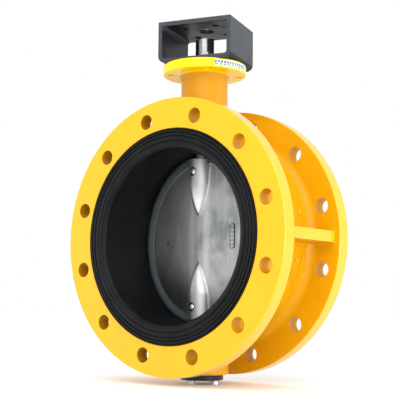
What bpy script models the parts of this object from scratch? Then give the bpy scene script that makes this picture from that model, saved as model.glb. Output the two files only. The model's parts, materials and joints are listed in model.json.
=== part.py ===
"""Double-flanged, rubber-lined butterfly valve with an actuator bracket.

The origin is the centre of the disc. The pipe runs along Y, the stem stands along Z, and
the bracket is at the top. All sizes are in metres.
"""
import math

import bmesh
import bpy
from mathutils import Matrix, Vector

# ---------------------------------------------------------------- driving dimensions
# Working gaps
FIT_GAP = 0.0003                  # between pieces that touch
RUNNING_GAP = 0.0005              # between the disc and the rubber seat

# Pipe side: flanges and barrel
BORE_DIAMETER = 0.250
BODY_LENGTH = 0.160               # iron face to iron face
FLANGE_DIAMETER = 0.400
FLANGE_THICKNESS = 0.022
FLANGE_EDGE_CHAMFER = 0.0015
BOLT_CIRCLE = 0.350
BOLT_COUNT = 12
BOLT_HOLE_DIAMETER = 0.023
BARREL_WALL = 0.0125
BARREL_FILLET = 0.014
RIB_THICKNESS = 0.016
RIB_EDGE_SETBACK = 0.008          # rib edge inside the flange rim
RIB_ROOT = 0.004                  # how deep the rib runs into iron

# Rubber seat
LINER_WALL = 0.0122
LIP_DIAMETER = 0.310
LIP_RECESS = 0.003
LIP_PROUD = 0.0025                # crest of the beads above the iron face
BEAD_HEIGHT = 0.0007
BEAD_WIDTH = 0.0030
BEAD_DIAMETERS = (0.2920, 0.3020)
MOUTH_RADIUS = 0.008

# Stem, hubs and bearings
STEM_DIAMETER = 0.028
BUSH_WALL = 0.003
BUSH_LENGTH = 0.030
SEAL_SPACE = 0.008
HUB_WALL = 0.008
HUB_LENGTH = 0.042                # straight part of each disc hub
HUB_TAPER = 0.042                 # length over which the hub runs out
STEM_IN_DISC = 0.056
TAPER_PIN_DIAMETER = 0.010
TAPER_PIN_INSET = 0.0245          # from the disc edge to the pin
TAPER_PIN_SLOPE = 0.01            # change of radius per length, 1:50 on diameter

# Disc
DISC_CROWN = 0.0080               # half thickness at the centre
DISC_WEB = 0.0052                 # half thickness beside the rim
DISC_RIM = 0.0095                 # half thickness of the rim
RIM_LAND = 0.0050
RIM_SLOPE = 0.0055
REST_ANGLE = math.radians(-11.0)  # the disc stands a little open

# Neck and top flange
NECK_DIAMETER = 0.070
NECK_ROOT_FILLET = 0.020
NECK_TOP_FILLET = 0.008
NECK_ROOT_SINK = 0.002            # where the neck starts inside the barrel wall
TOP_FACE_HEIGHT = 0.261
TOP_FLANGE_DIAMETER = 0.125
TOP_FLANGE_THICKNESS = 0.014
TOP_FLANGE_ROUND = 0.0015
TOP_HOLE_CIRCLE = 0.102
TOP_HOLE_DIAMETER = 0.011
GLAND_WALL = 0.0065
GLAND_LENGTH = 0.013
RETAINING_RING_THICKNESS = 0.0018
RETAINING_RING_SINK = 0.004       # above the ring, below the top face
RETAINING_GROOVE_DEPTH = 0.0015
RETAINING_RING_WIDTH = 0.0035
RETAINING_RING_OPENING = math.radians(24.0)
STEM_STANDOUT = 0.0425            # stem above the top face
STEM_CHAMFER = 0.0015
KEY_WIDTH = 0.008
KEY_HEIGHT = 0.007
KEY_DEPTH = 0.004
KEY_LENGTH = 0.025

# Bottom boss and cover
BOTTOM_FACE_DEPTH = 0.197
BOSS_DIAMETER = 0.078
BOSS_CHAMFER = 0.002
GASKET_THICKNESS = 0.001
COVER_THICKNESS = 0.0065
COVER_CHAMFER = 0.001
COVER_RIM = 0.0075                # from screw centre to cover edge
THRUST_WASHER_THICKNESS = 0.002
SPIGOT_HEIGHT = 0.0045            # cover spigot above the boss face
COVER_SCREW_DIAMETER = 0.006
COVER_SCREW_FLATS = 0.010
COVER_SCREW_HEAD = 0.004
COVER_SCREW_GRIP = 0.010          # length of thread in the boss
COVER_SCREW_WALL = 0.0029         # iron between the stem bore and the thread

# Bracket
BRACKET_WIDTH = 0.115
BRACKET_DEPTH = 0.099
BRACKET_HEIGHT = 0.062
BRACKET_PLATE = 0.006
BRACKET_BEND = 0.010              # outer radius of the two lower bends
BRACKET_YAW = math.radians(16.2)
BRACKET_SHIFT = (0.0018, 0.0014)
BRACKET_BASE_HOLE = 0.046
BRACKET_TOP_HOLE = 0.022
BRACKET_SCREW_CIRCLE = 0.070
BRACKET_TOP_PATTERN = 0.0495      # side of the square of holes in the top plate
BRACKET_TOP_PATTERN_HOLE = 0.009
BRACKET_SLOT_SWEEP = math.radians(44.0)
BRACKET_SCREW_DIAMETER = 0.008
BRACKET_SCREW_FLATS = 0.013
BRACKET_SCREW_HEAD = 0.0053
BRACKET_SCREW_GRIP = 0.0105
THREAD_END_ROOM = 0.0015

# Washers
WASHER_THICKNESS = 0.0012
WASHER_WIDTH_FACTOR = 2.0         # washer diameter over screw diameter

# Label on the rim of the top flange
LABEL_HEIGHT = 0.0095
LABEL_THICKNESS = 0.0005
LABEL_START = math.radians(-38.0)
LABEL_END = math.radians(20.0)

# Facets
FINE_FACETS = 48
STEM_FACETS = 24
SMALL_FACETS = 12
ARC_STEPS = 3

# ---------------------------------------------------------------- derived sizes
BORE = BORE_DIAMETER / 2
BODY_BORE = BORE + LINER_WALL + FIT_GAP
BARREL = BODY_BORE + BARREL_WALL
FACE = BODY_LENGTH / 2
FLANGE = FLANGE_DIAMETER / 2
FLANGE_BACK = FACE - FLANGE_THICKNESS
LIP = LIP_DIAMETER / 2
STEM = STEM_DIAMETER / 2
BUSH = STEM + FIT_GAP + BUSH_WALL
STEM_BORE = BUSH + FIT_GAP
DISC = BORE - RUNNING_GAP
HUB = STEM + HUB_WALL
HUB_FACE = math.sqrt(DISC ** 2 - HUB ** 2) - FIT_GAP
NECK = NECK_DIAMETER / 2
TOP_FLANGE = TOP_FLANGE_DIAMETER / 2
GLAND = STEM + FIT_GAP + GLAND_WALL
GLAND_BORE = GLAND + FIT_GAP
PIN_HEIGHT = DISC - TAPER_PIN_INSET
BOSS = BOSS_DIAMETER / 2
COVER_SCREW_CIRCLE = STEM_BORE + COVER_SCREW_WALL + COVER_SCREW_DIAMETER / 2 + FIT_GAP
COVER = COVER_SCREW_CIRCLE + COVER_RIM
STEM_TOP_HEIGHT = TOP_FACE_HEIGHT + STEM_STANDOUT
BRACKET_BASE_HEIGHT = TOP_FACE_HEIGHT + FIT_GAP
NECK_ROOT_HEIGHT = BODY_BORE + NECK_ROOT_SINK

# ---------------------------------------------------------------- finishes
FINISHES = {
    "yellow_paint": ((0.95, 0.56, 0.01), 0.35, 0.0),
    "black_rubber": ((0.012, 0.012, 0.014), 0.55, 0.0),
    "cast_disc": ((0.42, 0.43, 0.43), 0.38, 1.0),
    "stem_steel": ((0.60, 0.60, 0.60), 0.22, 1.0),
    "bronze": ((0.50, 0.33, 0.13), 0.40, 1.0),
    "black_steel": ((0.055, 0.053, 0.058), 0.45, 0.0),
    "zinc": ((0.62, 0.63, 0.65), 0.30, 1.0),
    "white_ptfe": ((0.80, 0.80, 0.78), 0.45, 0.0),
    "label_film": ((0.85, 0.88, 0.88), 0.30, 0.0),
    "gasket_fibre": ((0.08, 0.13, 0.10), 0.80, 0.0),
}


def finish(name):
    """Return the Principled material of a named finish."""
    known = bpy.data.materials.get(name)
    if known:
        return known
    colour, roughness, metallic = FINISHES[name]
    material = bpy.data.materials.new(name)
    material.use_nodes = True
    shader = material.node_tree.nodes["Principled BSDF"]
    shader.inputs["Base Color"].default_value = (*colour, 1.0)
    shader.inputs["Roughness"].default_value = roughness
    shader.inputs["Metallic"].default_value = metallic
    return material


# ---------------------------------------------------------------- modelling helpers
def arc(centre, radius, start, end, steps=ARC_STEPS):
    """Points along an arc of a profile or outline; angles in degrees."""
    turns = [math.radians(start + (end - start) * step / steps) for step in range(steps + 1)]
    return [(centre[0] + radius * math.cos(turn), centre[1] + radius * math.sin(turn))
            for turn in turns]


def place(shape, name, material):
    """Turn a bmesh into a named, smooth-shaded object."""
    bmesh.ops.recalc_face_normals(shape, faces=shape.faces)
    mesh = bpy.data.meshes.new(name)
    shape.to_mesh(mesh)
    shape.free()
    mesh.materials.append(finish(material))
    mesh.shade_smooth()
    mesh.set_sharp_from_angle(angle=math.radians(35.0))
    piece = bpy.data.objects.new(name, mesh)
    bpy.context.scene.collection.objects.link(piece)
    return piece


def turned(name, profile, material, facets=STEM_FACETS, axis="Z", start=0.0, sweep=math.tau):
    """Spin a profile of (radius, height) points about an axis.

    A profile that starts and ends on the axis gives a solid; one that stays off it is
    closed into a ring. A sweep short of a full turn gets flat ends.
    """
    shape = bmesh.new()
    corners = [shape.verts.new((radius, 0.0, height)) for radius, height in profile]
    chain = [shape.edges.new(pair) for pair in zip(corners, corners[1:])]
    if profile[0][0] > 0.0:
        chain.append(shape.edges.new((corners[-1], corners[0])))
    whole = sweep >= math.tau
    geometry = corners + chain
    if not whole:
        geometry.append(shape.faces.new(corners))
    bmesh.ops.rotate(shape, verts=shape.verts, cent=(0, 0, 0),
                     matrix=Matrix.Rotation(start, 3, "Z"))
    bmesh.ops.spin(shape, geom=geometry, cent=(0, 0, 0), axis=(0, 0, 1), angle=sweep,
                   steps=facets, use_merge=whole)
    bmesh.ops.remove_doubles(shape, verts=shape.verts, dist=1e-6)
    if axis == "Y":
        bmesh.ops.rotate(shape, verts=shape.verts, cent=(0, 0, 0),
                         matrix=Matrix.Rotation(-math.pi / 2, 3, "X"))
    return place(shape, name, material)


def rod(name, radius, bottom, top, material, facets=STEM_FACETS, chamfer=0.0, top_radius=None):
    """A solid round bar along Z, chamfered or tapered if asked."""
    upper = radius if top_radius is None else top_radius
    if chamfer:
        profile = [(0.0, top), (upper - chamfer, top), (upper, top - chamfer),
                   (radius, bottom + chamfer), (radius - chamfer, bottom), (0.0, bottom)]
    else:
        profile = [(0.0, top), (upper, top), (radius, bottom), (0.0, bottom)]
    return turned(name, profile, material, facets)


def sleeve(name, inner, outer, bottom, top, material, facets=STEM_FACETS):
    """A plain ring along Z."""
    profile = [(inner, bottom), (outer, bottom), (outer, top), (inner, top)]
    return turned(name, profile, material, facets)


def prism(name, outline, bottom, top, material):
    """Extrude a flat outline of (x, y) points from one height to another."""
    shape = bmesh.new()
    base = shape.faces.new([shape.verts.new((x, y, bottom)) for x, y in outline])
    grown = bmesh.ops.extrude_face_region(shape, geom=[base])["geom"]
    moved = [item for item in grown if isinstance(item, bmesh.types.BMVert)]
    bmesh.ops.translate(shape, verts=moved, vec=(0.0, 0.0, top - bottom))
    return place(shape, name, material)


def rods_on_circle(name, radius, circle, angles, bottom, top, material, facets=SMALL_FACETS):
    """Several round bars along Z in one mesh, spaced on a circle."""
    shape = bmesh.new()
    for angle in angles:
        centre = Vector((circle * math.cos(angle), circle * math.sin(angle), (bottom + top) / 2))
        bmesh.ops.create_cone(shape, cap_ends=True, cap_tris=False, segments=facets,
                              radius1=radius, radius2=radius, depth=top - bottom,
                              matrix=Matrix.Translation(centre))
    return place(shape, name, material)


def combine(target, tool, operation):
    """Join to, or cut from, the target with a tool that is then hidden."""
    modifier = target.modifiers.new(tool.name, "BOOLEAN")
    modifier.operation = operation
    modifier.solver = "EXACT"
    modifier.object = tool
    tool.hide_render = True
    tool.display_type = "WIRE"


def along_pipe(piece):
    """Turn a piece that was made along Z so that its axis lies along Y."""
    piece.data.transform(Matrix.Rotation(-math.pi / 2, 4, "X"))
    return piece


def quarter_angles(first):
    """Four angles, a quarter turn apart."""
    return [first + quarter * math.pi / 2 for quarter in range(4)]


def hex_screw(name, diameter, flats, head, length, material):
    """A hexagon screw: shank up from the origin, head below it."""
    shank = rod(name, diameter / 2, -head / 2, length, material, SMALL_FACETS)
    corner = flats / math.sqrt(3.0)
    outline = [(corner * math.cos(turn * math.tau / 6), corner * math.sin(turn * math.tau / 6))
               for turn in range(6)]
    block = prism(name + "_head", outline, -head, 0.0, material)
    combine(shank, block, "UNION")
    return shank


# ---------------------------------------------------------------- body
def flange_profile():
    """Half section of barrel and flanges, as (radius, distance along the pipe)."""
    rear = [(BODY_BORE, FACE - LIP_RECESS),
            (LIP + FIT_GAP, FACE - LIP_RECESS),
            (LIP + FIT_GAP, FACE),
            (FLANGE - FLANGE_EDGE_CHAMFER, FACE),
            (FLANGE, FACE - FLANGE_EDGE_CHAMFER),
            (FLANGE, FLANGE_BACK)]
    rear += arc((BARREL + BARREL_FILLET, FLANGE_BACK - BARREL_FILLET), BARREL_FILLET, 90, 180)
    front = [(radius, -along) for radius, along in reversed(rear)]
    return rear + front


def neck_profile():
    """Neck and top flange, from the top face down into the barrel wall."""
    top = TOP_FACE_HEIGHT
    under = top - TOP_FLANGE_THICKNESS
    points = [(0.0, top), (TOP_FLANGE - TOP_FLANGE_ROUND, top), (TOP_FLANGE, top - TOP_FLANGE_ROUND),
              (TOP_FLANGE, under + TOP_FLANGE_ROUND), (TOP_FLANGE - TOP_FLANGE_ROUND, under)]
    points += arc((NECK + NECK_TOP_FILLET, under - NECK_TOP_FILLET), NECK_TOP_FILLET, 90, 180)
    points += arc((NECK + NECK_ROOT_FILLET, BARREL + NECK_ROOT_FILLET), NECK_ROOT_FILLET, 180, 260)
    points += [(points[-1][0], NECK_ROOT_HEIGHT), (0.0, NECK_ROOT_HEIGHT)]
    return points


def valve_body():
    """Cast body: barrel, flanges, neck, top flange, boss and side ribs in one piece."""
    iron = "yellow_paint"
    body = turned("valve_body", flange_profile(), iron, FINE_FACETS, "Y")
    combine(body, turned("neck_form", neck_profile(), iron, STEM_FACETS), "UNION")
    boss = rod("boss_form", BOSS, -BOTTOM_FACE_DEPTH, -NECK_ROOT_HEIGHT, iron, STEM_FACETS, BOSS_CHAMFER)
    combine(body, boss, "UNION")
    rib_edge = FLANGE - RIB_EDGE_SETBACK
    for side, name in ((1, "left"), (-1, "right")):
        near, far = side * (BARREL - RIB_ROOT), side * rib_edge
        half = RIB_THICKNESS / 2
        end = FLANGE_BACK + RIB_ROOT
        outline = [(near, -end), (far, -end), (far, end), (near, end)]
        combine(body, prism("rib_form_" + name, outline, -half, half, iron), "UNION")
    bore_steps = [(0.0, BORE), (STEM_BORE, BORE),
                  (STEM_BORE, gland_seat()), (GLAND_BORE, gland_seat()),
                  (GLAND_BORE, ring_height() - FIT_GAP),
                  (GLAND_BORE + RETAINING_GROOVE_DEPTH, ring_height() - FIT_GAP),
                  (GLAND_BORE + RETAINING_GROOVE_DEPTH,
                   ring_height() + RETAINING_RING_THICKNESS + FIT_GAP),
                  (GLAND_BORE, ring_height() + RETAINING_RING_THICKNESS + FIT_GAP),
                  (GLAND_BORE, TOP_FACE_HEIGHT + FIT_GAP), (0.0, TOP_FACE_HEIGHT + FIT_GAP)]
    combine(body, turned("neck_bore", bore_steps, iron, STEM_FACETS), "DIFFERENCE")
    boss_bore = rod("boss_bore", STEM_BORE, -BOTTOM_FACE_DEPTH - FIT_GAP, -BORE, iron, STEM_FACETS)
    combine(body, boss_bore, "DIFFERENCE")

    spacing = math.tau / BOLT_COUNT
    angles = [spacing * (number + 0.5) for number in range(BOLT_COUNT)]
    for side, name in ((-1, "front"), (1, "rear")):
        ends = sorted((side * (FACE + FLANGE_EDGE_CHAMFER), side * (FLANGE_BACK - FLANGE_EDGE_CHAMFER)))
        holes = rods_on_circle(name + "_flange_holes", BOLT_HOLE_DIAMETER / 2, BOLT_CIRCLE / 2,
                               angles, ends[0], ends[1], iron)
        combine(body, along_pipe(holes), "DIFFERENCE")
    top_clear = TOP_FACE_HEIGHT + FIT_GAP
    combine(body, rods_on_circle("top_flange_holes", TOP_HOLE_DIAMETER / 2, TOP_HOLE_CIRCLE / 2,
                                 quarter_angles(math.pi / 4),
                                 TOP_FACE_HEIGHT - TOP_FLANGE_THICKNESS - NECK_TOP_FILLET, top_clear,
                                 iron), "DIFFERENCE")
    combine(body, rods_on_circle("bracket_threads", BRACKET_SCREW_DIAMETER / 2 + FIT_GAP,
                                 BRACKET_SCREW_CIRCLE / 2, quarter_angles(math.pi / 4),
                                 TOP_FACE_HEIGHT - BRACKET_SCREW_GRIP - THREAD_END_ROOM, top_clear,
                                 iron), "DIFFERENCE")
    combine(body, rods_on_circle("cover_threads", COVER_SCREW_DIAMETER / 2 + FIT_GAP,
                                 COVER_SCREW_CIRCLE, quarter_angles(0.0),
                                 -BOTTOM_FACE_DEPTH - FIT_GAP,
                                 -BOTTOM_FACE_DEPTH + COVER_SCREW_GRIP + THREAD_END_ROOM,
                                 iron), "DIFFERENCE")


# ---------------------------------------------------------------- rubber seat
def lip_face_profile():
    """Front half of the seat's section, from the bore out to the lip and back under it."""
    face = FACE + LIP_PROUD - BEAD_HEIGHT
    points = arc((BORE + MOUTH_RADIUS, face - MOUTH_RADIUS), MOUTH_RADIUS, 180, 90)
    for diameter in BEAD_DIAMETERS:
        middle, half = diameter / 2, BEAD_WIDTH / 2
        points += [(middle - half, face), (middle, face + BEAD_HEIGHT), (middle + half, face)]
    under = FACE - LIP_RECESS + FIT_GAP
    points += [(LIP - BEAD_HEIGHT, face), (LIP, face - BEAD_HEIGHT), (LIP, under),
               (BODY_BORE - FIT_GAP, under)]
    return points


def seat_liner():
    """Moulded rubber seat: a sleeve in the bore with a lip over each iron face."""
    rear = lip_face_profile()
    front = [(radius, -along) for radius, along in reversed(rear)]
    liner = turned("seat_liner", rear + front, "black_rubber", FINE_FACETS, "Y")
    for side, name in ((1, "top"), (-1, "bottom")):
        ends = sorted((side * (BORE - MOUTH_RADIUS), side * (BODY_BORE + FIT_GAP)))
        hole = rod("seat_hole_" + name, STEM + RUNNING_GAP, ends[0], ends[1], "black_rubber",
                   STEM_FACETS)
        combine(liner, hole, "DIFFERENCE")


# ---------------------------------------------------------------- disc and stems
def disc_profile():
    """Section of the round plate, as (radius, distance from the mid plane)."""
    slope_start = math.sqrt(DISC ** 2 - DISC_RIM ** 2) - RIM_LAND - RIM_SLOPE
    fall = DISC_CROWN - DISC_WEB
    points = [(share * slope_start, DISC_CROWN - fall * share ** 2) for share in (0.0, 0.45, 0.75, 1.0)]
    points.append((slope_start + RIM_SLOPE, DISC_RIM))
    rim_turn = math.degrees(math.asin(DISC_RIM / DISC))
    points += arc((0.0, 0.0), DISC, rim_turn, -rim_turn, ARC_STEPS)
    back = [(radius, -height) for radius, height in reversed(points[:5])]
    return points + back


def hub_profile():
    """Section of a disc hub, from its flat end to the point where it runs out."""
    run_out = HUB_FACE - HUB_LENGTH - HUB_TAPER
    taper = [(HUB * math.sqrt(1.0 - (1.0 - share) ** 1.6), run_out + share * HUB_TAPER)
             for share in (1.0, 0.75, 0.5, 0.28, 0.1)]
    return [(0.0, HUB_FACE), (HUB, HUB_FACE)] + taper + [(0.0, run_out)]


def disc_group(axle):
    """Disc, its two stems, the taper pins and the key; all turn together."""
    disc = turned("disc", disc_profile(), "cast_disc", FINE_FACETS, "Y")
    turn = math.pi / STEM_FACETS
    hub = turned("hub_form_top", hub_profile(), "cast_disc", start=turn)
    lower_hub = turned("hub_form_bottom", [(radius, -height) for radius, height in hub_profile()],
                       "cast_disc", start=turn)
    combine(disc, hub, "UNION")
    combine(disc, lower_hub, "UNION")
    stem_end = HUB_FACE - STEM_IN_DISC
    key_seat = STEM - KEY_DEPTH
    drive_stem = rod("drive_stem", STEM, stem_end, STEM_TOP_HEIGHT, "stem_steel",
                     chamfer=STEM_CHAMFER)
    stub_stem = rod("stub_stem", STEM, -stub_depth(), -stem_end, "stem_steel",
                    chamfer=STEM_CHAMFER)
    keyway_bottom = STEM_TOP_HEIGHT - STEM_CHAMFER - KEY_LENGTH - FIT_GAP
    half_slot = KEY_WIDTH / 2 + FIT_GAP
    slot = [(key_seat - FIT_GAP, -half_slot), (STEM + KEY_HEIGHT, -half_slot),
            (STEM + KEY_HEIGHT, half_slot), (key_seat - FIT_GAP, half_slot)]
    keyway = prism("keyway", slot, keyway_bottom, STEM_TOP_HEIGHT + FIT_GAP, "stem_steel")
    combine(drive_stem, keyway, "DIFFERENCE")
    half_key = KEY_WIDTH / 2
    key_outline = [(key_seat, -half_key), (key_seat + KEY_HEIGHT, -half_key),
                   (key_seat + KEY_HEIGHT, half_key), (key_seat, half_key)]
    key = prism("stem_key", key_outline, keyway_bottom + FIT_GAP, keyway_bottom + FIT_GAP + KEY_LENGTH,
                "black_steel")
    pins = []
    for side, name, stem in ((1, "upper", drive_stem), (-1, "lower", stub_stem)):
        steps = [(0.0, stem_end - FIT_GAP), (STEM + FIT_GAP, stem_end - FIT_GAP),
                 (STEM + FIT_GAP, HUB_FACE), (HUB + FIT_GAP, HUB_FACE),
                 (HUB + FIT_GAP, DISC + FIT_GAP), (0.0, DISC + FIT_GAP)]
        socket = turned(name + "_hub_bore", [(radius, side * height) for radius, height in steps],
                        "cast_disc")
        combine(disc, socket, "DIFFERENCE")
        half_pin = HUB - FIT_GAP
        radius = TAPER_PIN_DIAMETER / 2
        spread = TAPER_PIN_SLOPE * half_pin
        pin = rod(name + "_taper_pin", radius - spread, -half_pin, half_pin, "stem_steel",
                  SMALL_FACETS, STEM_CHAMFER / 2, radius + spread)
        hole = rod(name + "_pin_hole", radius - spread + FIT_GAP, -HUB - FIT_GAP, HUB + FIT_GAP,
                   "cast_disc", SMALL_FACETS, top_radius=radius + spread + FIT_GAP)
        for item in (pin, hole):
            along_pipe(item)
            item.data.transform(Matrix.Translation((0.0, 0.0, side * PIN_HEIGHT)))
        combine(disc, hole, "DIFFERENCE")
        combine(stem, hole, "DIFFERENCE")
        hole.parent = axle
        socket.parent = axle
        pins.append(pin)
    for item in [disc, hub, lower_hub, drive_stem, stub_stem, keyway, key] + pins:
        item.parent = axle


# ---------------------------------------------------------------- bearings and seals
def gland_seat():
    """Height of the shoulder under the gland bush."""
    return ring_height() - 2 * FIT_GAP - GLAND_LENGTH


def ring_height():
    """Underside of the retaining ring."""
    return TOP_FACE_HEIGHT - RETAINING_RING_SINK - RETAINING_RING_THICKNESS


def cover_face():
    """Height of the cover's upper face, below the gasket."""
    return -(BOTTOM_FACE_DEPTH + GASKET_THICKNESS + 2 * FIT_GAP)


def stub_depth():
    """Depth of the lower stem's end, above the thrust washer."""
    return BOTTOM_FACE_DEPTH - SPIGOT_HEIGHT - THRUST_WASHER_THICKNESS - FIT_GAP


def seal_ring(name, height):
    """A round-section seal between the stem and its bore."""
    section = (STEM_BORE - STEM) / 2 - FIT_GAP
    middle = (STEM_BORE + STEM) / 2
    turned(name, arc((middle, height), section, 0, 300, 5), "black_rubber")


def bearings():
    """Bushes, seal rings, gland bush, retaining ring and thrust washer."""
    inner = STEM + FIT_GAP
    start = BODY_BORE + SEAL_SPACE / 2
    for name, bottom in (("neck_bush_lower", start),
                         ("neck_bush_upper", gland_seat() - SEAL_SPACE - BUSH_LENGTH),
                         ("boss_bush", -start - BUSH_LENGTH)):
        sleeve(name, inner, BUSH, bottom, bottom + BUSH_LENGTH, "bronze")
    seal_ring("stem_seal_lower", start + BUSH_LENGTH + SEAL_SPACE / 2)
    seal_ring("stem_seal_upper", gland_seat() - SEAL_SPACE / 2)
    seal_ring("stub_seal", -(start + BUSH_LENGTH + SEAL_SPACE / 2))
    sleeve("gland_bush", inner, GLAND, gland_seat() + FIT_GAP, gland_seat() + FIT_GAP + GLAND_LENGTH,
           "white_ptfe")
    outer = GLAND_BORE + RETAINING_GROOVE_DEPTH - FIT_GAP
    ring = [(outer - RETAINING_RING_WIDTH, ring_height()), (outer, ring_height()),
            (outer, ring_height() + RETAINING_RING_THICKNESS),
            (outer - RETAINING_RING_WIDTH, ring_height() + RETAINING_RING_THICKNESS)]
    turned("retaining_ring", ring, "black_steel", STEM_FACETS, "Z", RETAINING_RING_OPENING / 2,
           math.tau - RETAINING_RING_OPENING)
    washer_top = -stub_depth() - FIT_GAP
    sleeve("thrust_washer", STEM / 3, BUSH, washer_top - THRUST_WASHER_THICKNESS, washer_top, "bronze")


def bottom_closure():
    """Gasket, cover, screws and washers that close the boss."""
    face = cover_face()
    sleeve("bottom_gasket", STEM_BORE, COVER - FIT_GAP, face + FIT_GAP,
           face + FIT_GAP + GASKET_THICKNESS, "gasket_fibre")
    spigot_top = -stub_depth() - 2 * FIT_GAP - THRUST_WASHER_THICKNESS
    underside = face - COVER_THICKNESS
    profile = [(0.0, spigot_top), (BUSH - FIT_GAP, spigot_top), (BUSH - FIT_GAP, face), (COVER, face),
               (COVER, underside + COVER_CHAMFER), (COVER - COVER_CHAMFER, underside),
               (0.0, underside)]
    cover = turned("bottom_cover", profile, "black_steel")
    hole = COVER_SCREW_DIAMETER / 2 + FIT_GAP
    holes = rods_on_circle("cover_holes", hole, COVER_SCREW_CIRCLE, quarter_angles(0.0),
                           underside - FIT_GAP, -BOTTOM_FACE_DEPTH, "black_steel")
    combine(cover, holes, "DIFFERENCE")
    combine(bpy.data.objects["bottom_gasket"], holes, "DIFFERENCE")
    length = -BOTTOM_FACE_DEPTH + COVER_SCREW_GRIP - (underside - WASHER_THICKNESS - 2 * FIT_GAP)
    fasteners("cover", quarter_angles(0.0), COVER_SCREW_CIRCLE, underside, -1, COVER_SCREW_DIAMETER,
              COVER_SCREW_FLATS, COVER_SCREW_HEAD, length)


def fasteners(prefix, angles, circle, seat, side, diameter, flats, head, length):
    """A ring of hexagon screws with washers, on a seat whose outside faces up (1) or down (-1)."""
    washer_seat = seat + side * FIT_GAP
    screw_seat = washer_seat + side * (WASHER_THICKNESS + FIT_GAP)
    screw = hex_screw(prefix + "_screw_1", diameter, flats, head, length, "zinc")
    washer = sleeve(prefix + "_washer_1", diameter / 2 + FIT_GAP, diameter * WASHER_WIDTH_FACTOR / 2,
                    -WASHER_THICKNESS, 0.0, "zinc", SMALL_FACETS)
    head_form = screw.modifiers[0].object
    for number, angle in enumerate(angles, 1):
        spot = (circle * math.cos(angle), circle * math.sin(angle))
        turn = (math.pi if side > 0 else 0.0, 0.0, angle)
        if number > 1:
            screw = bpy.data.objects.new(f"{prefix}_screw_{number}", screw.data)
            washer = bpy.data.objects.new(f"{prefix}_washer_{number}", washer.data)
            form = bpy.data.objects.new(f"{prefix}_head_{number}", head_form.data)
            for item in (screw, washer, form):
                bpy.context.scene.collection.objects.link(item)
            combine(screw, form, "UNION")
        form = screw.modifiers[0].object
        for item, height in ((screw, screw_seat), (form, screw_seat), (washer, washer_seat)):
            item.location = (*spot, height)
            item.rotation_euler = turn


# ---------------------------------------------------------------- bracket
def bracket_outline(inset):
    """Outline of the bracket seen from the front: square at the top, bent at the bottom."""
    half = BRACKET_WIDTH / 2 - inset
    low, high = inset, BRACKET_HEIGHT - inset
    bend = BRACKET_BEND - inset
    points = arc((-half + bend, low + bend), bend, 180, 270)
    points += arc((half - bend, low + bend), bend, 270, 360)
    return points + [(half, high), (-half, high)]


def arc_slots(name, radius, circle, middle_angles, sweep, bottom, top, material):
    """Slots that follow a circle, with round ends, in one mesh."""
    shape = bmesh.new()
    for middle in middle_angles:
        start, end = math.degrees(middle - sweep / 2), math.degrees(middle + sweep / 2)
        heads = [(circle * math.cos(math.radians(angle)), circle * math.sin(math.radians(angle)))
                 for angle in (start, end)]
        outline = arc((0.0, 0.0), circle + radius, start, end)
        outline += arc(heads[1], radius, end, end + 180)[1:-1]
        outline += arc((0.0, 0.0), circle - radius, end, start)
        outline += arc(heads[0], radius, start - 180, start)[1:-1]
        base = shape.faces.new([shape.verts.new((x, y, bottom)) for x, y in outline])
        grown = bmesh.ops.extrude_face_region(shape, geom=[base])["geom"]
        moved = [item for item in grown if isinstance(item, bmesh.types.BMVert)]
        bmesh.ops.translate(shape, verts=moved, vec=(0.0, 0.0, top - bottom))
    return place(shape, name, material)


def actuator_bracket():
    """Welded bracket: a bent channel closed by a top plate, open to the front and rear."""
    steel = "black_steel"
    base = BRACKET_BASE_HEIGHT
    stand = Matrix.Translation((*BRACKET_SHIFT, base)) @ Matrix.Rotation(BRACKET_YAW, 4, "Z")
    upright = stand @ Matrix.Rotation(math.pi / 2, 4, "X")
    half = BRACKET_DEPTH / 2
    bracket = prism("actuator_bracket", bracket_outline(0.0), -half, half, steel)
    window = prism("bracket_window", bracket_outline(BRACKET_PLATE), -half - FIT_GAP, half + FIT_GAP,
                   steel)
    for item in (bracket, window):
        item.data.transform(upright)
    combine(bracket, window, "DIFFERENCE")

    plate_top = base + BRACKET_PLATE + FIT_GAP
    hole = rod("bracket_base_hole", BRACKET_BASE_HOLE / 2, base - FIT_GAP, plate_top, steel)
    combine(bracket, hole, "DIFFERENCE")
    slots = arc_slots("bracket_slots", BRACKET_SCREW_DIAMETER / 2 + 2 * FIT_GAP,
                      BRACKET_SCREW_CIRCLE / 2, quarter_angles(math.pi / 4 + BRACKET_YAW),
                      BRACKET_SLOT_SWEEP, base - FIT_GAP, plate_top, steel)
    combine(bracket, slots, "DIFFERENCE")
    top_low = BRACKET_HEIGHT - BRACKET_PLATE - FIT_GAP
    top_high = BRACKET_HEIGHT + FIT_GAP
    centre_hole = rod("bracket_top_hole", BRACKET_TOP_HOLE / 2, top_low, top_high, steel)
    pattern = rods_on_circle("bracket_top_pattern", BRACKET_TOP_PATTERN_HOLE / 2,
                             BRACKET_TOP_PATTERN / math.sqrt(2.0), quarter_angles(math.pi / 4),
                             top_low, top_high, steel)
    for item in (centre_hole, pattern):
        item.data.transform(stand)
        combine(bracket, item, "DIFFERENCE")
    length = BRACKET_PLATE + BRACKET_SCREW_GRIP + WASHER_THICKNESS + 3 * FIT_GAP
    fasteners("bracket", quarter_angles(math.pi / 4), BRACKET_SCREW_CIRCLE / 2, base + BRACKET_PLATE,
              1, BRACKET_SCREW_DIAMETER, BRACKET_SCREW_FLATS, BRACKET_SCREW_HEAD, length)


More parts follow.
